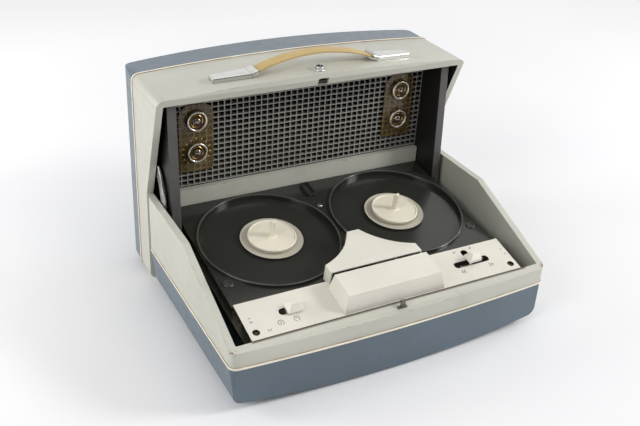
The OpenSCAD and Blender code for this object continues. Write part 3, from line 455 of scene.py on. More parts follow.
# dust and painted light, lighter towards the back of the grille's cells
GRILLE_DUST_AND_LIGHT = paint(160, 157, 150)
# painted light: the lit grille bars as seen through the amber
PAINTED_BAR_LIGHT = paint(146, 126, 82)
GETTER = paint(92, 92, 96)

# Where a mark starts and where it is full, in metres:
# from the middle of the piping towards its frame
GLUE_LINE = (0.0013, 0.0015)
# from the seam before the control plate to the front and to the rear, and from the middle of the case
SEAM_FRONT = (-0.0026, -0.0012)
SEAM_REAR = (0.001, 0.0004)
SEAM_END = (0.186, 0.19)
# from the middle of the case, negative where a face looks inwards, for the painted shade inside the lid
# frame
INNER_SHADE_FACING = (-0.12, -0.16)
# from the front corners of the rim, whose places follow in millimetres in the case
CHIP_REACH = (0.009, 0.004)
CHIP_PLACES = ((-215, 1, 24), (215, 1, 24))
# over the control plate's top, for the painted shade along the edge of the front cover
EDGE_SHADE_HEIGHT = (-0.0002, -0.0005)
# over the plane of the bead tops, for the painted shade on the hubs and the painted highlight on the beads
HUB_SHADE_HEIGHT = (0.0012, 0.0002)
CREST_HEIGHT = (-0.0007, -0.0001)
# from the middle of the deck to the end of its screw
SCREW_END = (0.02, 0.021)
# from the front of the grille into its cells, over which the painted light on the upward faces grows
CELL_DUST_AND_LIGHT_START = 0.0015
# from the sharp edges of the frames and of the handle's caps
WORN_WIDTH = 0.0012
CAP_EDGE_DARK_WIDTH = 0.0009
# from the middle line of the strap
STRAP_BORDER = (0.0078, 0.0096)
# height in the valves
GETTER_HEIGHT = (0.105, 0.118)


def shell_finish(colour):
    """Moulded shell: fine pebble grain, slight clouds, paler worn places."""
    material, tree, shader, place = new_finish("shell_blue", colour, 0.45)
    clouds = cloudy(tree, place, 14, 5)
    wear_and_highlight = grade(tree, noise(tree, place, 46, 8), 0.62, 0.78)
    body = mix(tree, clouds, tint(colour, 0.92), tint(colour, 1.07))
    body = mix(tree, times(tree, wear_and_highlight, 0.25), body, tint(colour, 1.35))
    tree.links.new(body, shader.inputs["Base Color"])
    tree.links.new(cloudy(tree, place, 90, 6, 0.3, 0.42), shader.inputs["Roughness"])
    shader.inputs["Coat Weight"].default_value = 0.25
    shader.inputs["Coat Roughness"].default_value = 0.3
    bump(tree, shader, noise(tree, place, 1500, 3), GRAIN, 0.25)
    return material


def piping_finish(name, colour, axis, middle):
    """Cream piping with a narrow brown line of old glue on its frame side."""
    material, tree, shader, place = new_finish(name, colour, 0.4)
    across = math_of(tree, "SUBTRACT", axis_of(tree, place, axis), middle)
    line = grade(tree, times(tree, across, 1 if axis == 2 else -1), *GLUE_LINE)
    worn = grade(tree, noise(tree, place, 40, 6), 0.3, 0.6, 0.55, 1.0)
    soil = grade(tree, noise(tree, place, 22, 6), 0.35, 0.75)
    body = mix(tree, soil, colour, tint(colour, 0.86))
    body = mix(tree, times(tree, line, worn), body, GLUE)
    tree.links.new(body, shader.inputs["Base Color"])
    bump(tree, shader, noise(tree, place, 700, 3), GRAIN, 0.2)
    return material


def board_finish(name, colour, inner_shade=False, seam=None):
    """Brushed paint on wood: streaks, stains, worn edges.

    A frame with inner shade has its inward faces darkened to near black, as painted shade.
    One with a seam, given as its y, has painted shade along it and chips at its front corners.
    """
    material, tree, shader, place = new_finish(name, colour, 0.42)
    clouds = cloudy(tree, place, 9, 6)
    streaks = grade(tree, noise(tree, place, 160, 3, (0.08, 1, 1)), 0.35, 0.65)
    stain = grade(tree, noise(tree, place, 21, 9), 0.60, 0.74)
    body = mix(tree, clouds, tint(colour, 0.94), tint(colour, 1.04))
    body = mix(tree, times(tree, streaks, 0.2), body, tint(colour, 0.9))
    body = mix(tree, times(tree, stain, 0.22), body, STAIN)
    if inner_shade:
        here = tree.nodes.new("ShaderNodeNewGeometry")
        facing = times(tree, axis_of(tree, here.outputs["Normal"], 0), axis_of(tree, place, 0))
        # painted shade: faces that look inwards darkened to near black
        body = mix(tree, grade(tree, facing, *INNER_SHADE_FACING), body, INNER_SHADE_COLOUR)
    if seam is not None:
        rearward = math_of(tree, "SUBTRACT", axis_of(tree, place, 1), seam)
        band = times(tree, grade(tree, rearward, *SEAM_FRONT), grade(tree, rearward, *SEAM_REAR))
        inside = grade(tree, math_of(tree, "ABSOLUTE", axis_of(tree, place, 0)), *SEAM_END, 0.85, 0)
        # painted shade: a dark band on the rim along the seam, where the gap is in shadow
        body = mix(tree, times(tree, band, inside), body, SEAM_SHADE)
        flaked = grade(tree, noise(tree, place, 260, 5), 0.5, 0.56)
        for corner in CHIP_PLACES:
            near = tree.nodes.new("ShaderNodeVectorMath")
            near.operation = "DISTANCE"
            near.inputs[1].default_value = case_at(*corner)
            tree.links.new(place, near.inputs[0])
            chip = times(tree, grade(tree, near.outputs["Value"], *CHIP_REACH), flaked)
            body = mix(tree, chip, body, CHIPPED_PAINT)
    worn = edge_mask(tree, place, WORN_WIDTH, 0.54, 0.66)
    body = mix(tree, times(tree, worn, 0.8), body, WORN_PAINT)
    tree.links.new(body, shader.inputs["Base Color"])
    tree.links.new(cloudy(tree, place, 70, 6, 0.34, 0.5), shader.inputs["Roughness"])
    bump(tree, shader, noise(tree, place, 420, 4, (0.2, 1, 1)), BRUSH_STROKES, 0.12)
    return material


def moulded_finish(name, colour, rough, grain=900, relief=0.15):
    """Moulded plastic: faint clouds, dull and bright patches, fine grain."""
    material, tree, shader, place = new_finish(name, colour, rough)
    clouds = cloudy(tree, place, 18, 6)
    specks = grade(tree, noise(tree, place, 260, 4), 0.66, 0.8)
    body = mix(tree, clouds, tint(colour, 0.95), tint(colour, 1.04))
    body = mix(tree, times(tree, specks, 0.12), body, tint(colour, 0.6))
    tree.links.new(body, shader.inputs["Base Color"])
    gloss = cloudy(tree, place, 55, 6, rough - 0.06, rough + 0.08)
    tree.links.new(gloss, shader.inputs["Roughness"])
    bump(tree, shader, noise(tree, place, grain, 3), GRAIN, relief)
    return material


def cover_finish(colour):
    """White covers: moulded plastic with painted shade where their edge goes under the plate's top."""
    material = moulded_finish("cover_white", colour, 0.36)
    tree = material.node_tree
    # painted shade: darker where the edge goes under the plate's top, where the gap lies in shadow
    lay_over(material, grade(tree, height_over(tree, PLATE), *EDGE_SHADE_HEIGHT), EDGE_SHADE)
    return material


def hub_finish(colour):
    """Cream hubs: moulded plastic, with painted shade below the table on which a reel lies."""
    material = moulded_finish("hub_cream", colour, 0.4)
    tree = material.node_tree
    # painted shade: darker below the table, where the table shades the flange
    lay_over(material, grade(tree, height_over(tree, DECK), *HUB_SHADE_HEIGHT), tint(colour, 0.6))
    return material


def deck_finish(colour):
    """Black moulded deck: dust, specks, a painted highlight along the bead crests, satin gloss."""
    material, tree, shader, place = new_finish("deck_black", colour, 0.36)
    dust = grade(tree, noise(tree, place, 12, 4), 0.35, 0.75)
    specks = grade(tree, noise(tree, place, 700, 3), 0.7, 0.78)
    body = mix(tree, times(tree, dust, 0.2), colour, tint(colour, 1.6))
    wear_and_highlight = grade(tree, noise(tree, place, 30, 4), 0.35, 0.65, 0.3, 0.9)
    crest = times(tree, grade(tree, height_over(tree, DECK), *CREST_HEIGHT), wear_and_highlight)
    # painted highlight: bead crests paler, broken up by clouds
    body = mix(tree, crest, body, BEAD_HIGHLIGHT)
    body = mix(tree, times(tree, specks, 0.3), body, tint(colour, 3.5))
    tree.links.new(body, shader.inputs["Base Color"])
    tree.links.new(cloudy(tree, place, 25, 4, 0.12, 0.18), shader.inputs["Roughness"])
    bump(tree, shader, noise(tree, place, 1300, 3), POLISH, 0.03)
    return material


def plug_finish(colour):
    """Black plugs at the sides and a bright screw in the middle, all in one node."""
    material, tree, shader, place = new_finish("deck_plugs", colour, 0.4)
    middle = grade(tree, math_of(tree, "ABSOLUTE", axis_of(tree, place, 0)), *SCREW_END, 1, 0)
    cloud = cloudy(tree, place, 300, 5)
    dark = mix(tree, cloud, tint(colour, 1.1), tint(colour, 1.7))
    tree.links.new(mix(tree, middle, dark, BRIGHT_SCREW), shader.inputs["Base Color"])
    tree.links.new(middle, shader.inputs["Metallic"])
    tree.links.new(cloudy(tree, place, 200, 5, 0.28, 0.42), shader.inputs["Roughness"])
    return material


def metal_finish(name, colour, rough, brushed=None, tarnish=0.25):
    """Metal with brushing or fine wear and a little tarnish."""
    material, tree, shader, place = new_finish(name, colour, rough, 1.0)
    spots = grade(tree, noise(tree, place, 120, 8), 0.52, 0.75)
    body = mix(tree, times(tree, spots, tarnish), colour, tint(colour, 0.55))
    tree.links.new(body, shader.inputs["Base Color"])
    lines = noise(tree, place, 500, 4, brushed)
    gloss = grade(tree, lines, *CLOUD_RANGE, max(rough - 0.05, 0.03), rough + 0.1)
    tree.links.new(gloss, shader.inputs["Roughness"])
    bump(tree, shader, lines, GRAIN, 0.04)
    return material


def cap_finish(colour):
    """Chromed caps: bright faces, darker along their edges."""
    material = metal_finish("cap_chrome", colour, 0.18, tarnish=0.3)
    tree = material.node_tree
    place = tree.nodes.new("ShaderNodeTexCoord").outputs["Object"]
    # a darker colour along the sharp edges
    lay_over(material, edge_mask(tree, place, CAP_EDGE_DARK_WIDTH, 0.2, 0.45), CAP_EDGE_DARK)
    return material


def rubber_finish(name, colour):
    """Dull rubber with a powdery bloom."""
    material, tree, shader, place = new_finish(name, colour, 0.75)
    bloom = grade(tree, noise(tree, place, 160, 6), 0.4, 0.7)
    tree.links.new(mix(tree, bloom, colour, tint(colour, 1.8)), shader.inputs["Base Color"])
    bump(tree, shader, noise(tree, place, 1800, 3), GRAIN, 0.3)
    return material


def baffle_finish():
    """Board stained black on its front, bare ply elsewhere."""
    wood = paint(150, 112, 72)
    material, tree, shader, place = new_finish("baffle_wood", wood, 0.7)
    rings = noise(tree, place, 90, 5, (0.06, 1, 1))
    body = mix(tree, grade(tree, rings, 0.35, 0.65), tint(wood, 0.7), tint(wood, 1.15))
    here = tree.nodes.new("ShaderNodeNewGeometry")
    front = grade(tree, axis_of(tree, here.outputs["Normal"], 1), -0.9, -0.7, 1, 0)
    tree.links.new(mix(tree, front, body, BLACK_STAIN), shader.inputs["Base Color"])
    bump(tree, shader, rings, WOOD_GRAIN, 0.3)
    return material


def post_finish(colour):
    """Hinge posts: worn grey paint in front, sides darkened to near black as painted shade."""
    material, tree, shader, place = new_finish("post_grey", colour, 0.45)
    clouds = cloudy(tree, place, 40, 7)
    here = tree.nodes.new("ShaderNodeNewGeometry")
    side = grade(tree, math_of(tree, "ABSOLUTE", axis_of(tree, here.outputs["Normal"], 0)), 0.6, 0.8)
    body = mix(tree, clouds, tint(colour, 0.9), tint(colour, 1.1))
    # painted shade: faces that look sideways darkened to near black
    body = mix(tree, side, body, tint(colour, 0.1))
    rust = grade(tree, noise(tree, place, 70, 8), 0.68, 0.74)
    body = mix(tree, times(tree, rust, 0.5), body, RUST)
    tree.links.new(body, shader.inputs["Base Color"])
    bump(tree, shader, noise(tree, place, 500, 3), GRAIN, 0.3)
    return material


def grille_finish(colour):
    """Moulded grille: dust and painted light on faces that look up, painted shade on flanks and undersides.
    """
    material, tree, shader, place = new_finish("grille_grey", colour, 0.45)
    here = tree.nodes.new("ShaderNodeNewGeometry").outputs["Normal"]
    upward = axis_of(tree, here, 2)
    upward_dust_and_light = grade(tree, upward, 0.5, 0.8)
    flank = math_of(tree, "ABSOLUTE", axis_of(tree, here, 0))
    shaded = math_of(tree, "MAXIMUM", flank, times(tree, upward, -1))
    # painted shade: faces that look sideways or down darkened to near black
    dark = grade(tree, shaded, 0.5, 0.8)
    clouds = cloudy(tree, place, 24, 5)
    body = mix(tree, clouds, tint(colour, 0.9), tint(colour, 1.1))
    front, back = (corner.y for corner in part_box("grille"))
    # painted light: upward faces lighter towards the back of the cells, where they lie in shadow
    depth = grade(tree, axis_of(tree, place, 1), front + CELL_DUST_AND_LIGHT_START, back)
    dust = mix(tree, depth, tint(colour, 1.05), GRILLE_DUST_AND_LIGHT)
    body = mix(tree, upward_dust_and_light, body, dust)
    tree.links.new(mix(tree, dark, body, tint(colour, 0.02)), shader.inputs["Base Color"])
    bump(tree, shader, noise(tree, place, 600, 3), GRAIN, 0.2)
    return material


def lattice(tree, place):
    """Mask of the grille's bars, from the grille's own box."""
    low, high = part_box("grille")
    lines = []
    for axis, cells in zip((0, 2), GRILLE_CELLS):
        pitch = (high[axis] - low[axis] - GRILLE_BAR) / cells
        along = math_of(tree, "SUBTRACT", axis_of(tree, place, axis), low[axis])
        step = math_of(tree, "FRACT", times(tree, along, 1 / pitch))
        share = GRILLE_BAR / pitch
        lines.append(grade(tree, step, share, share + BAR_BLUR, 1, 0))
    return math_of(tree, "MAXIMUM", *lines)


def amber_finish(colour):
    """Clear amber sheet with faint scratches, and gold lines of painted light where the lit bars behind it
    show.
    """
    material, tree, shader, place = new_finish("amber", colour, 0.12)
    shader.inputs["Alpha"].default_value = 0.72
    clouds = cloudy(tree, place, 60, 5)
    body = mix(tree, clouds, tint(colour, 0.85), tint(colour, 1.1))
    fade = grade(tree, noise(tree, place, 45, 4), 0.35, 0.65, 0.25, 0.9)
    bars = times(tree, lattice(tree, place), fade)
    # painted light: gold lines where the lit bars behind the plate show
    tree.links.new(mix(tree, bars, body, PAINTED_BAR_LIGHT), shader.inputs["Base Color"])
    gloss = grade(tree, noise(tree, place, 700, 3, (0.1, 1, 1)), 0.5, 0.8, 0.06, 0.2)
    tree.links.new(gloss, shader.inputs["Roughness"])
    return material


def strap_finish(colour):
    """Smooth strap hide: pores, lengthwise creases, darker edges."""
    material, tree, shader, place = new_finish("strap_tan", colour, 0.45)
    clouds = cloudy(tree, place, 35, 6)
    creases = grade(tree, noise(tree, place, 260, 4, (0.12, 1, 1)), 0.45, 0.7)
    front, rear = (corner.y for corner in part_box("strap_handle"))
    middle = (front + rear) / 2
    side = math_of(tree, "ABSOLUTE", math_of(tree, "SUBTRACT", axis_of(tree, place, 1), middle))
    edge = grade(tree, side, *STRAP_BORDER)
    body = mix(tree, clouds, tint(colour, 0.93), tint(colour, 1.06))
    body = mix(tree, times(tree, creases, 0.25), body, tint(colour, 0.72))
    body = mix(tree, times(tree, edge, 0.5), body, tint(colour, 0.6))
    tree.links.new(body, shader.inputs["Base Color"])
    pores = noise(tree, place, 1500, 4)
    bump(tree, shader, pores, GRAIN, 0.25)
    return material


def glass_finish():
    """Valve glass with a smoky getter patch at the top."""
    colour = paint(214, 222, 224)
    material, tree, shader, place = new_finish("valve_glass", colour, 0.08)
    shader.inputs["Transmission Weight"].default_value = 0.85
    smoke = grade(tree, axis_of(tree, place, 2), *GETTER_HEIGHT)
    cloud = cloudy(tree, place, 220, 5, 0.5, 1)
    body = mix(tree, times(tree, smoke, cloud), colour, GETTER)
    tree.links.new(body, shader.inputs["Base Color"])
    return material


# Carrying case

PIPING_ROUND = 0.0007
# The seam before the control plate, in millimetres behind the case's front corners
SEAM = 8.5


class TAPE_OT_case(bpy.types.Operator):
    """Finishes the shells, the piping, the feet and the two painted frames"""

    bl_idname = "tape.case"
    bl_label = "Carrying case"

    def execute(self, context):
        looks = context.scene.tape_case
        dress(shell_finish(tuple(looks.shell)), "base_shell", "lid_shell")
        line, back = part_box("base_piping"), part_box("lid_piping")
        piping = tuple(looks.piping)
        dress(piping_finish("piping_base", piping, 2, (line[0].z + line[1].z) / 2), "base_piping")
        dress(piping_finish("piping_lid", piping, 1, (back[0].y + back[1].y) / 2), "lid_piping")
        dress(board_finish("base_paint", tuple(looks.board), seam=case_at(0, SEAM, 0).y), "base_frame")
        # the lid frame's inward faces get painted shade
        dress(board_finish("lid_paint", tuple(looks.board), inner_shade=True), "lid_frame")
        dress(rubber_finish("foot_rubber", paint(52, 50, 48)), "base_feet")
        round_edges(looks.edge, "base_frame", "lid_frame")
        round_edges(PIPING_ROUND, "base_piping", "lid_piping")
        return {"FINISHED"}


# Deck and covers

# Height of a hub's table over the plane of the bead tops, and section of the rim on it
HUB_TABLE = 0.0015
HUB_RIM_OUTER = 0.0303
HUB_RIM_INNER = 0.0290
HUB_RIM_HEIGHT = 0.0006
HUB_RIM_CHAMFER = 0.0003
HUB_RIM_SUNK = 0.0002
HUB_RIM_STEPS = 96
# Radii of the edges of plate, clip and hubs, and of the levers
PLATE_ROUND = 0.0004
LEVER_ROUND = 0.0008


class TAPE_OT_deck(bpy.types.Operator):
    """Finishes the deck, its plugs, clip, hubs, covers and control plate"""

    bl_idname = "tape.deck"
    bl_label = "Deck and covers"

    def rims(self, cream):
        """Low rim on the table of each hub."""
        shoulder = HUB_RIM_HEIGHT - HUB_RIM_CHAMFER
        section = (
            (HUB_RIM_OUTER, -HUB_RIM_SUNK), (HUB_RIM_OUTER, shoulder),
            (HUB_RIM_OUTER - HUB_RIM_CHAMFER, HUB_RIM_HEIGHT),
            (HUB_RIM_INNER + HUB_RIM_CHAMFER, HUB_RIM_HEIGHT),
            (HUB_RIM_INNER, shoulder), (HUB_RIM_INNER, -HUB_RIM_SUNK),
        )
        model = turned("rim_model", [(r, 0, h) for r, h in section], (0, 0, 1), HUB_RIM_STEPS)
        model.data.materials.append(cream)
        for side in ("supply", "takeup"):
            low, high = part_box(f"{side}_shaft")
            rim = twin(model, f"{side}_hub_rim")
            foot = DECK.inverted() @ ((low + high) / 2)
            settle(rim, DECK @ Matrix.Translation((foot.x, foot.y, HUB_TABLE)))
            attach(rim, f"{side}_reel_hub")
        bpy.data.objects.remove(model)

    def execute(self, context):
        looks = context.scene.tape_deck
        dress(deck_finish(tuple(looks.deck)), "deck_plate")
        dress(plug_finish(tuple(looks.deck)), "deck_plugs")
        dress(moulded_finish("clip_black", paint(50, 51, 50), 0.32), "tape_clip")
        dress(cover_finish(tuple(looks.cover)), "front_cover", "control_plate")
        dress(moulded_finish("head_white", tuple(looks.cover), 0.36), "head_cover")
        cream = hub_finish(tuple(looks.hub))
        dress(cream, "supply_hub", "takeup_hub")
        self.rims(cream)
        dress(moulded_finish("lever_cream", paint(232, 227, 214), 0.34), "stick_lever", "slide_lever")
        dress(metal_finish("screw_steel", paint(84, 78, 68), 0.25, tarnish=0.7), "plate_screws")
        round_edges(looks.edge, "head_cover", "front_cover")
        round_edges(PLATE_ROUND, "control_plate", "tape_clip", "supply_hub", "takeup_hub")
        round_edges(LEVER_ROUND, "slide_lever", "stick_lever")
        return {"FINISHED"}


# Loudspeaker side

POST_ROUND = 0.0008


class TAPE_OT_lid_front(bpy.types.Operator):
    """Finishes the grille, the amber plates, the posts and the boards behind them"""

    bl_idname = "tape.lid_front"
    bl_label = "Loudspeaker side"

    def execute(self, context):
        looks = context.scene.tape_lid
        dress(grille_finish(tuple(looks.grille)), "grille")
        dress(amber_finish(tuple(looks.amber)), "dial_plates")
        dress(post_finish(tuple(looks.post)), "lid_posts")
        dress(baffle_finish(), "baffle_board")
        round_edges(POST_ROUND, "lid_posts")
        return {"FINISHED"}


# Knobs

# Section of a knob: radii, and distances in front of its back
KNOB_DEPTH = 0.007
KNOB_BACK_STEP = 0.0012
KNOB_TUBE = 0.0018
KNOB_TUBE_FRONT = 0.0034
CUP_MARGIN = 0.0040
CUP_FLOOR = 0.0016
BRASS_RING = [(0.0087, 0.0012), (0.0084, 0.0030), (0.0078, 0.0034), (0.0070, 0.0030), (0.0066, 0.0014)]
DOME_RADIUS = 0.0061
DOME_FOOT = 0.0016
DOME_RISE = 0.0052
KNOB_STEPS = 64
# Borders of its finishes: width of the rim, then radii
KNOB_RIM_WIDTH = 0.0038
BRASS_OUTER = 0.0086
BRASS_INNER = 0.0068
DOME_BORDER = 0.0062
# What lies behind this has the finish of the rim
KNOB_BACK_FINISH = 0.0005


class TAPE_OT_knobs(bpy.types.Operator):
    """Turns one knob with a bright rim, a brown cup, a brass ring and a dome, and sets four of them"""

    bl_idname = "tape.knobs"
    bl_label = "Knobs"

    def profile(self, radius):
        """Half section of the knob: radius and distance in front of its back, in metres."""
        rim = [(radius - KNOB_TUBE + KNOB_TUBE * math.cos(a), KNOB_TUBE_FRONT + KNOB_TUBE * math.sin(a))
               for a in (math.radians(t) for t in range(-60, 181, 20))]
        dome = [(DOME_RADIUS * math.cos(a), DOME_FOOT + DOME_RISE * math.sin(a))
                for a in (math.radians(t) for t in range(0, 90, 9))]
        back = [(0.0, 0.0), (radius - KNOB_BACK_STEP, 0.0)]
        cup = [(radius - CUP_MARGIN, CUP_FLOOR)]
        return back + rim + cup + BRASS_RING + dome + [(0.0, DOME_FOOT + DOME_RISE)]

    def execute(self, context):
        looks = context.scene.tape_lid
        section = [(r, -d, 0) for r, d in self.profile(looks.knob_radius)]
        knob = turned("knob_model", section, (0, 1, 0), KNOB_STEPS)
        zones = (
            (looks.knob_radius - KNOB_RIM_WIDTH, metal_finish("knob_rim", paint(214, 208, 196), 0.24)),
            (BRASS_OUTER, moulded_finish("knob_cup", paint(92, 70, 50), 0.3)),
            (BRASS_INNER, metal_finish("knob_brass", paint(206, 170, 108), 0.2, tarnish=0.4)),
            (DOME_BORDER, moulded_finish("knob_groove", paint(30, 24, 20), 0.4)),
            (0.0, metal_finish("knob_dome", paint(150, 140, 132), 0.12)),
        )
        for _, material in zones:
            knob.data.materials.append(material)
        for face in knob.data.polygons:
            r = math.hypot(face.center.x, face.center.z)
            band = next(index for index, zone in enumerate(zones) if r >= zone[0])
            face.material_index = band if face.center.y < -KNOB_BACK_FINISH else 0
        for row in ("upper", "lower"):
            for side in ("left", "right"):
                node = f"knob_{row}_{side}"
                low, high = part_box(node)
                piece = twin(knob, f"turned_{node}")
                middle = (low + high) / 2
                settle(piece, Matrix.Translation((middle.x, low.y + KNOB_DEPTH, middle.z)))
                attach(piece, f"{row}_{side}_knob")
                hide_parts(node)
        bpy.data.objects.remove(knob)
        return {"FINISHED"}


# Printed marks

# Length, width, clipped corners and thickness of one stroke, and its gap to the face that carries it
STROKE_LENGTH = 0.0027
STROKE_WIDTH = 0.0006
STROKE_CLIP = 0.00018
PRINT_THICK = 0.00012
PRINT_GAP = 0.00002
# Places on the control plate, in millimetres from its middle and up from its front edge:
# tips of the wind arrows and the way each points
ARROW_ROW = 16.5
ARROWS = ((105, -1), (108.4, -1), (150, 1), (153.4, 1))
ARROW_LEAN = math.radians(42)
ARROW_ARM = 0.0018
# open ring signs of the slide lever's two places, each of nine strokes
SIGN_ROW = 14.5
SIGNS = (-143.6, -124.1)
SIGN_RADIUS = 0.0034
SIGN_STROKES = 9
SIGN_STEP = math.radians(36)
SIGN_START = math.radians(-54)
# single strokes beside the slots and at the plate's ends, with their turn in degrees
STROKES = (
    (113.6, 49.7, 90), (115.6, 49.7, 40), (139, 50.2, 0), (140.2, 51.4, 90), (179.2, 36.5, 90),
    (179.8, 27.6, 90), (-161.6, 8.4, 90), (-158.8, 8.4, 60), (-175.6, 31, 0), (-176.6, 25.5, 90),
    (-174.6, 25.5, 90), (-143.6, 14.5, 90), (-124.1, 15.5, 0),
)
# Ticks round the scaled knob: from its middle, and to each side of its upright
TICK_RADIUS = 0.0182
TICK_SWEEP = math.radians(140)
# How much longer and wider than one stroke the marks are
ARROW_STROKE = (1.4, 1.15)
SINGLE_STROKE = (1.2, 1.2)
TICK_STROKE = (0.9, 1.4)


def turn_z(angle):
    """Turn in the plane of the marks."""
    return Matrix.Rotation(angle, 4, "Z")


def stretched(length, width):
    """Stroke made longer and wider by two factors."""
    return Matrix.Diagonal((length, width, 1, 1))


def bar():
    """One printed stroke: a thin raised bar along x with clipped ends, at the origin."""
    clear_hands()
    bpy.ops.mesh.primitive_plane_add(size=1)
    piece = take("stroke")
    piece.scale = (STROKE_LENGTH, STROKE_WIDTH, 1)
    bpy.ops.object.transform_apply(scale=True)
    bpy.ops.object.mode_set(mode="EDIT")
    bpy.ops.mesh.select_all(action="SELECT")
    bpy.ops.mesh.bevel(offset=STROKE_CLIP, affect="VERTICES", segments=2)
    bpy.ops.mesh.select_all(action="SELECT")
    bpy.ops.mesh.extrude_region_move(TRANSFORM_OT_translate={"value": (0, 0, PRINT_THICK)})
    bpy.ops.object.mode_set(mode="OBJECT")
    return piece


class TAPE_OT_marks(bpy.types.Operator):
    """Prints the signs on the control plate and the ticks round one knob"""

    bl_idname = "tape.marks"
    bl_label = "Printed marks"

    def stroke(self, model, across, up, shape):
        """Copy of the model stroke, shaped and then set on the plate at a place in millimetres."""
        piece = twin(model, "stroke")
        piece.data.transform(Matrix.Translation((across * MM, up * MM, 0)) @ shape)
        return piece

    def plate_marks(self, model, ink):
        """Wind arrows, ring signs and single strokes on the control plate."""
        strokes = []
        for across, way in ARROWS:
            for lean in (-ARROW_LEAN, ARROW_LEAN):
                arm = turn_z(lean) @ Matrix.Translation((-way * ARROW_ARM, 0, 0)) @ stretched(*ARROW_STROKE)
                strokes.append(self.stroke(model, across, ARROW_ROW, arm))
        tangent = Matrix.Translation((SIGN_RADIUS, 0, 0)) @ turn_z(math.pi / 2)
        for across in SIGNS:
            for step in range(SIGN_STROKES):
                arc = turn_z(SIGN_STEP * step + SIGN_START) @ tangent
                strokes.append(self.stroke(model, across, SIGN_ROW, arc))
        for across, up, turn in STROKES:
            shape = turn_z(math.radians(turn)) @ stretched(*SINGLE_STROKE)
            strokes.append(self.stroke(model, across, up, shape))
        printed = join(strokes, "plate_marks")
        printed.data.materials.append(ink)
        settle(printed, PLATE @ Matrix.Translation((0, 0, PRINT_GAP)))
        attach(printed, "base")

    def dial_ticks(self, model, gold, count):
        """Ticks on the dial plate round the lower left knob."""
        low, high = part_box("knob_lower_left")
        centre = (low + high) / 2
        centre.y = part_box("dial_plates")[0].y - PRINT_GAP
        upright = Matrix.Rotation(math.pi / 2, 4, "X")
        outwards = Matrix.Translation((TICK_RADIUS, 0, 0)) @ stretched(*TICK_STROKE)
        ticks = []
        for step in range(count):
            turn = TICK_SWEEP * (2 * step / (count - 1) - 1)
            tick = twin(model, "tick")
            tick.data.transform(upright @ turn_z(math.pi / 2 - turn) @ outwards)
            ticks.append(tick)
        scale = join(ticks, "dial_ticks")
        scale.data.materials.append(gold)
        settle(scale, Matrix.Translation(centre))
        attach(scale, "lid")

    def execute(self, context):
        deck, lid = context.scene.tape_deck, context.scene.tape_lid
        model = bar()
        self.plate_marks(model, moulded_finish("mark_ink", tuple(deck.marks), 0.5))
        self.dial_ticks(model, moulded_finish("mark_gold", paint(232, 204, 128), 0.4), lid.ticks)
        bpy.data.objects.remove(model)
        return {"FINISHED"}


# Strap handle

# Exponents of the strap's section: flat faces, rounded borders
STRAP_FLATNESS = 0.42
STRAP_ROUNDNESS = 0.62
STRAP_POINTS = 36
STRAP_STEPS = 72
STRAP_SMOOTH = math.radians(50)


class TAPE_OT_strap(bpy.types.Operator):
    """Sweeps the strap handle from one cap to the other"""

    bl_idname = "tape.strap"
    bl_label = "Strap handle"

    def execute(self, context):
        looks = context.scene.tape_strap
        low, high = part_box("strap_handle")
        half = (high.x - low.x) / 2
        middle = (low.y + high.y) / 2
        apex = high.z - looks.thickness / 2
        # The strap's middle line is an arc from cap to cap
        sag = high.z - low.z - looks.thickness
        radius = (half * half + sag * sag) / (2 * sag)
        lead = math.asin(half / radius)
        hollow = Vector((0, middle, apex - radius))
        clear_hands()
        bpy.ops.mesh.primitive_circle_add(vertices=STRAP_POINTS, radius=1, fill_type="NGON")
        strap = take("strap")
        for vertex in strap.data.vertices:
            c, s = vertex.co.x, vertex.co.y
            across = looks.width / 2 * math.copysign(abs(c) ** STRAP_FLATNESS, c)
            thick = looks.thickness / 2 * math.copysign(abs(s) ** STRAP_ROUNDNESS, s)
            vertex.co = (0, middle + across, apex + thick)
        about = Matrix.Translation(hollow) @ Matrix.Rotation(-lead, 4, "Y") @ Matrix.Translation(-hollow)
        strap.data.transform(about)
        only(strap)
        bpy.ops.object.mode_set(mode="EDIT")
        bpy.ops.mesh.select_all(action="SELECT")
        bpy.ops.mesh.spin(steps=STRAP_STEPS, angle=2 * lead, center=hollow, axis=(0, -1, 0))
        bpy.ops.object.mode_set(mode="OBJECT")
        settle(strap, Matrix.Identity(4), STRAP_SMOOTH)
        strap.data.materials.append(strap_finish(tuple(looks.colour)))
        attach(strap, "lid")
        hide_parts("strap_handle")
        return {"FINISHED"}


# Bright fittings and works

LINK_ROUND = 0.0005
LOCK_ROUND = 0.0003
CAP_ROUND = 0.0006


class TAPE_OT_fittings(bpy.types.Operator):
    """Finishes the strap caps, the lock and the hinges"""

    bl_idname = "tape.fittings"
    bl_label = "Bright fittings"

    def execute(self, context):
        dress(metal_finish("chrome", paint(196, 196, 193), 0.07, tarnish=0.3), "lock_bezel", "capstan")
        dress(metal_finish("striker_nickel", paint(128, 122, 112), 0.16, tarnish=0.7), "lock_striker")
        dress(cap_finish(paint(216, 216, 213)), "handle_caps")
        dress(metal_finish("lock_dark", paint(62, 60, 57), 0.2, tarnish=0.5), "lock_button")
        dress(metal_finish("link_bright", paint(206, 206, 204), 0.22, (0.2, 1, 1)), "hinge_links")
        dress(metal_finish("pin_steel", paint(168, 162, 152), 0.3), "base_hinge_pins", "lid_hinge_pins")
        round_edges(LINK_ROUND, "hinge_links")
        round_edges(LOCK_ROUND, "lock_bezel", "lock_button", "lock_striker")
        round_edges(CAP_ROUND, "handle_caps")
        return {"FINISHED"}


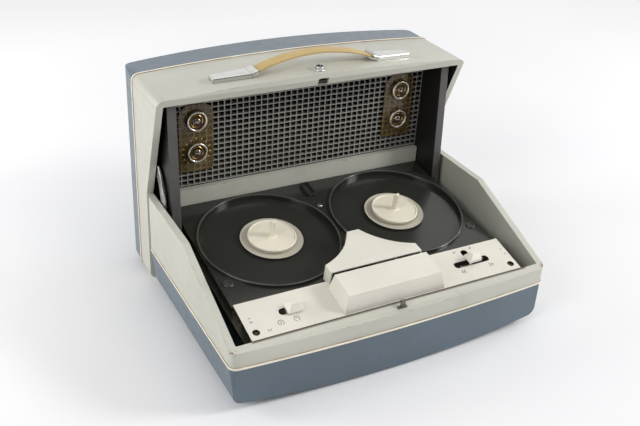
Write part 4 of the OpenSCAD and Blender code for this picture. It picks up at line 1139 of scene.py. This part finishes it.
class TAPE_OT_works(bpy.types.Operator):
    """Finishes the chassis, drive, heads and electrical pieces inside"""

    bl_idname = "tape.works"
    bl_label = "Works"

    def execute(self, context):
        steel = metal_finish("steel", paint(170, 168, 162), 0.32, (0.1, 1, 1))
        dress(steel, "deck_spacers", "plate_pillars", "stick_bracket", "stick_gimbal", "slide_guide",
              "pinch_post", "pinch_arm", "tape_guides", "supply_shaft", "takeup_shaft", "potentiometers",
              "amplifier", "flywheel")
        dress(metal_finish("head_nickel", paint(190, 182, 168), 0.2), "tape_heads")
        dress(metal_finish("chassis_steel", paint(120, 118, 108), 0.45, tarnish=0.5), "chassis_plate")
        bronze = metal_finish("bronze", paint(168, 124, 66), 0.35, tarnish=0.5)
        dress(bronze, "hub_bearings", "capstan_bearing", "motor_pulley")
        hammered = moulded_finish("motor_grey", paint(98, 100, 100), 0.4, grain=400, relief=0.3)
        dress(hammered, "motor", "mains_transformer", "speaker_basket")
        dress(rubber_finish("belt_rubber", paint(34, 33, 32)), "drive_belt", "pinch_roller")
        dress(rubber_finish("cone_paper", paint(46, 43, 39)), "speaker_cone")
        dress(glass_finish(), "valves")
        return {"FINISHED"}


# Studio

FLOOR_SIZE = 14
FLOOR_MIDDLE = (0, 2, -0.0002)
FLOOR_GREYS = ((0.85, 0.85, 0.865), (0.87, 0.87, 0.88))
# The floor's glow grows with the distance from the case and more to the left and rear, and again far off
GLOW_LEAN = -0.5
GLOW_SHARES = (0.7, 0.5)
GLOW_REACH = (0.3, 1.25)
HORIZON_REACH = (1.4, 3.2)
HORIZON_GLOW = 0.62
# The room behind the camera, as bright pieces mirror it: darker to the front
ROOM_DEPTH = (-0.8, -0.2)
ROOM_LIGHT = (0.12, 0.95)
BACKDROP = 0.95
# Even light from left to right, as a share of its strength
SKY_WIDTH = (-0.6, 0.6)
SKY_SHARES = (0.5, 1.5)
# Place, aim and size of the square lamps, whose power is a setting of the same name
LAMPS = {
    "key": ((1.45, -0.86, 1.12), (0, 0, 0.1), 0.5),
    "fill": ((-1.35, 0.63, 0.62), (0, 0, 0.12), 0.6),
    "glint": ((1.55, 0.15, 0.95), (0, 0, 0.1), 0.25),
    "left": ((-1.3, -0.55, 1.15), (0, 0, 0.1), 0.7),
    "top": ((0, -0.35, 2.1), (0, 0, 0.1), 1.6),
}
# Where the camera stands, seen from the point it looks at
CAMERA_TARGET = case_at(-40.296, 137.194, 84.203)
CAMERA_DISTANCE = 1.07704
CAMERA_TURN = math.radians(-29.516)
CAMERA_RISE = math.radians(29.70)
CAMERA_ROLL = math.radians(3.501)
SENSOR_WIDTH = 36


class TAPE_OT_stage(bpy.types.Operator):
    """Sets the pale floor, the soft lamps and the camera"""

    bl_idname = "tape.stage"
    bl_label = "Studio"

    def floor(self, glow, far):
        """Pale paper that glows a little for the camera alone."""
        clear_hands()
        bpy.ops.mesh.primitive_plane_add(size=FLOOR_SIZE, location=FLOOR_MIDDLE)
        plane = take("floor")
        bpy.ops.object.transform_apply(location=True)
        material, tree, shader, place = new_finish("floor_paper", FLOOR_GREYS[0], 0.9)
        tree.links.new(mix(tree, cloudy(tree, place, 3, 3), *FLOOR_GREYS), shader.inputs["Base Color"])
        shader.inputs["Specular IOR Level"].default_value = 0.1
        shader.inputs["Emission Color"].default_value = (1, 1, 1, 1)
        reach = tree.nodes.new("ShaderNodeVectorMath")
        reach.operation = "LENGTH"
        tree.links.new(place, reach.inputs[0])
        distance = reach.outputs["Value"]
        leftward = times(tree, axis_of(tree, place, 0), GLOW_LEAN)
        lean = math_of(tree, "ADD", axis_of(tree, place, 1), leftward)
        away = math_of(tree, "ADD", times(tree, distance, GLOW_SHARES[0]), times(tree, lean, GLOW_SHARES[1]))
        near_light = grade(tree, away, *GLOW_REACH, glow, far)
        far_light = grade(tree, distance, *HORIZON_REACH, glow, HORIZON_GLOW)
        light = math_of(tree, "MAXIMUM", near_light, far_light)
        path = tree.nodes.new("ShaderNodeLightPath")
        tree.links.new(times(tree, path.outputs["Is Camera Ray"], light), shader.inputs["Emission Strength"])
        plane.data.materials.append(material)

    def sky(self, strength):
        """White backdrop, a graded room for the mirrored light, and even light from all round."""
        world = bpy.data.worlds.new("studio_sky")
        bpy.context.scene.world = world
        world.use_nodes = True
        tree = world.node_tree
        background = tree.nodes["Background"]
        background.inputs["Color"].default_value = (1, 1, 1, 1)
        rays = tree.nodes.new("ShaderNodeLightPath").outputs
        camera = math_of(tree, "MAXIMUM", rays["Is Camera Ray"], rays["Is Transmission Ray"])
        seen = math_of(tree, "MAXIMUM", camera, rays["Is Glossy Ray"])
        way = tree.nodes.new("ShaderNodeTexCoord").outputs["Generated"]
        even = grade(tree, axis_of(tree, way, 0), *SKY_WIDTH, *(strength * share for share in SKY_SHARES))
        room = grade(tree, axis_of(tree, way, 1), *ROOM_DEPTH, *ROOM_LIGHT)
        white = times(tree, seen, math_of(tree, "MAXIMUM", room, times(tree, camera, BACKDROP)))
        hidden = times(tree, math_of(tree, "SUBTRACT", 1.0, seen), even)
        tree.links.new(math_of(tree, "ADD", white, hidden), background.inputs["Strength"])

    def lamp(self, name, place, aim, size, power):
        """Square soft lamp, turned to a point."""
        data = bpy.data.lights.new(name, "AREA")
        data.size = size
        data.energy = power
        lamp = bpy.data.objects.new(name, data)
        bpy.context.scene.collection.objects.link(lamp)
        lamp.location = place
        lamp.rotation_euler = (Vector(aim) - Vector(place)).to_track_quat("-Z", "Y").to_euler()

    def camera(self, lens):
        """Camera on its place round the case, rolled about its view."""
        flat = math.cos(CAMERA_RISE)
        back = Vector((math.sin(CAMERA_TURN) * flat, -math.cos(CAMERA_TURN) * flat, math.sin(CAMERA_RISE)))
        level = (-back).cross(Vector((0, 0, 1))).normalized()
        upright = level.cross(-back)
        right = math.cos(CAMERA_ROLL) * level + math.sin(CAMERA_ROLL) * upright
        up = math.cos(CAMERA_ROLL) * upright - math.sin(CAMERA_ROLL) * level
        data = bpy.data.cameras.new("camera")
        data.sensor_width = SENSOR_WIDTH
        data.lens = lens
        camera = bpy.data.objects.new("camera", data)
        bpy.context.scene.collection.objects.link(camera)
        pose = Matrix((right, up, back)).transposed().to_4x4()
        pose.translation = CAMERA_TARGET + back * CAMERA_DISTANCE
        camera.matrix_world = pose
        bpy.context.scene.camera = camera

    def execute(self, context):
        looks = context.scene.tape_stage
        context.scene.view_settings.view_transform = "Standard"
        self.floor(looks.glow, looks.glow_far)
        self.sky(looks.sky)
        for name, (place, aim, size) in LAMPS.items():
            self.lamp(name, place, aim, size, getattr(looks, name))
        self.camera(looks.lens)
        return {"FINISHED"}


# Add-on

OPERATORS = (
    TAPE_OT_case, TAPE_OT_deck, TAPE_OT_lid_front, TAPE_OT_knobs, TAPE_OT_marks, TAPE_OT_strap,
    TAPE_OT_fittings, TAPE_OT_works, TAPE_OT_stage,
)


class TAPE_PT_panel(bpy.types.Panel):
    """Sidebar with the pieces of the recorder"""

    bl_idname = "TAPE_PT_panel"
    bl_label = "Tape recorder"
    bl_space_type = "VIEW_3D"
    bl_region_type = "UI"
    bl_category = "Tape recorder"

    def draw(self, context):
        for operator in OPERATORS:
            self.layout.operator(operator.bl_idname)


SETTINGS = {
    "tape_case": CaseLooks, "tape_deck": DeckLooks, "tape_lid": LidLooks, "tape_strap": StrapLooks,
    "tape_stage": StageLooks,
}


def register():
    """Adds the settings, the operators and the panel."""
    for name, group in SETTINGS.items():
        bpy.utils.register_class(group)
        setattr(bpy.types.Scene, name, PointerProperty(type=group))
    for operator in OPERATORS:
        bpy.utils.register_class(operator)
    bpy.utils.register_class(TAPE_PT_panel)


def unregister():
    """Takes them away again."""
    bpy.utils.unregister_class(TAPE_PT_panel)
    for operator in reversed(OPERATORS):
        bpy.utils.unregister_class(operator)
    for name, group in reversed(SETTINGS.items()):
        delattr(bpy.types.Scene, name)
        bpy.utils.unregister_class(group)


def main():
    """Dresses the recorder and sets the studio."""
    register()
    bpy.ops.tape.case()
    bpy.ops.tape.deck()
    bpy.ops.tape.lid_front()
    bpy.ops.tape.knobs()
    bpy.ops.tape.marks()
    bpy.ops.tape.strap()
    bpy.ops.tape.fittings()
    bpy.ops.tape.works()
    bpy.ops.tape.stage()


if __name__ == "__main__":
    main()
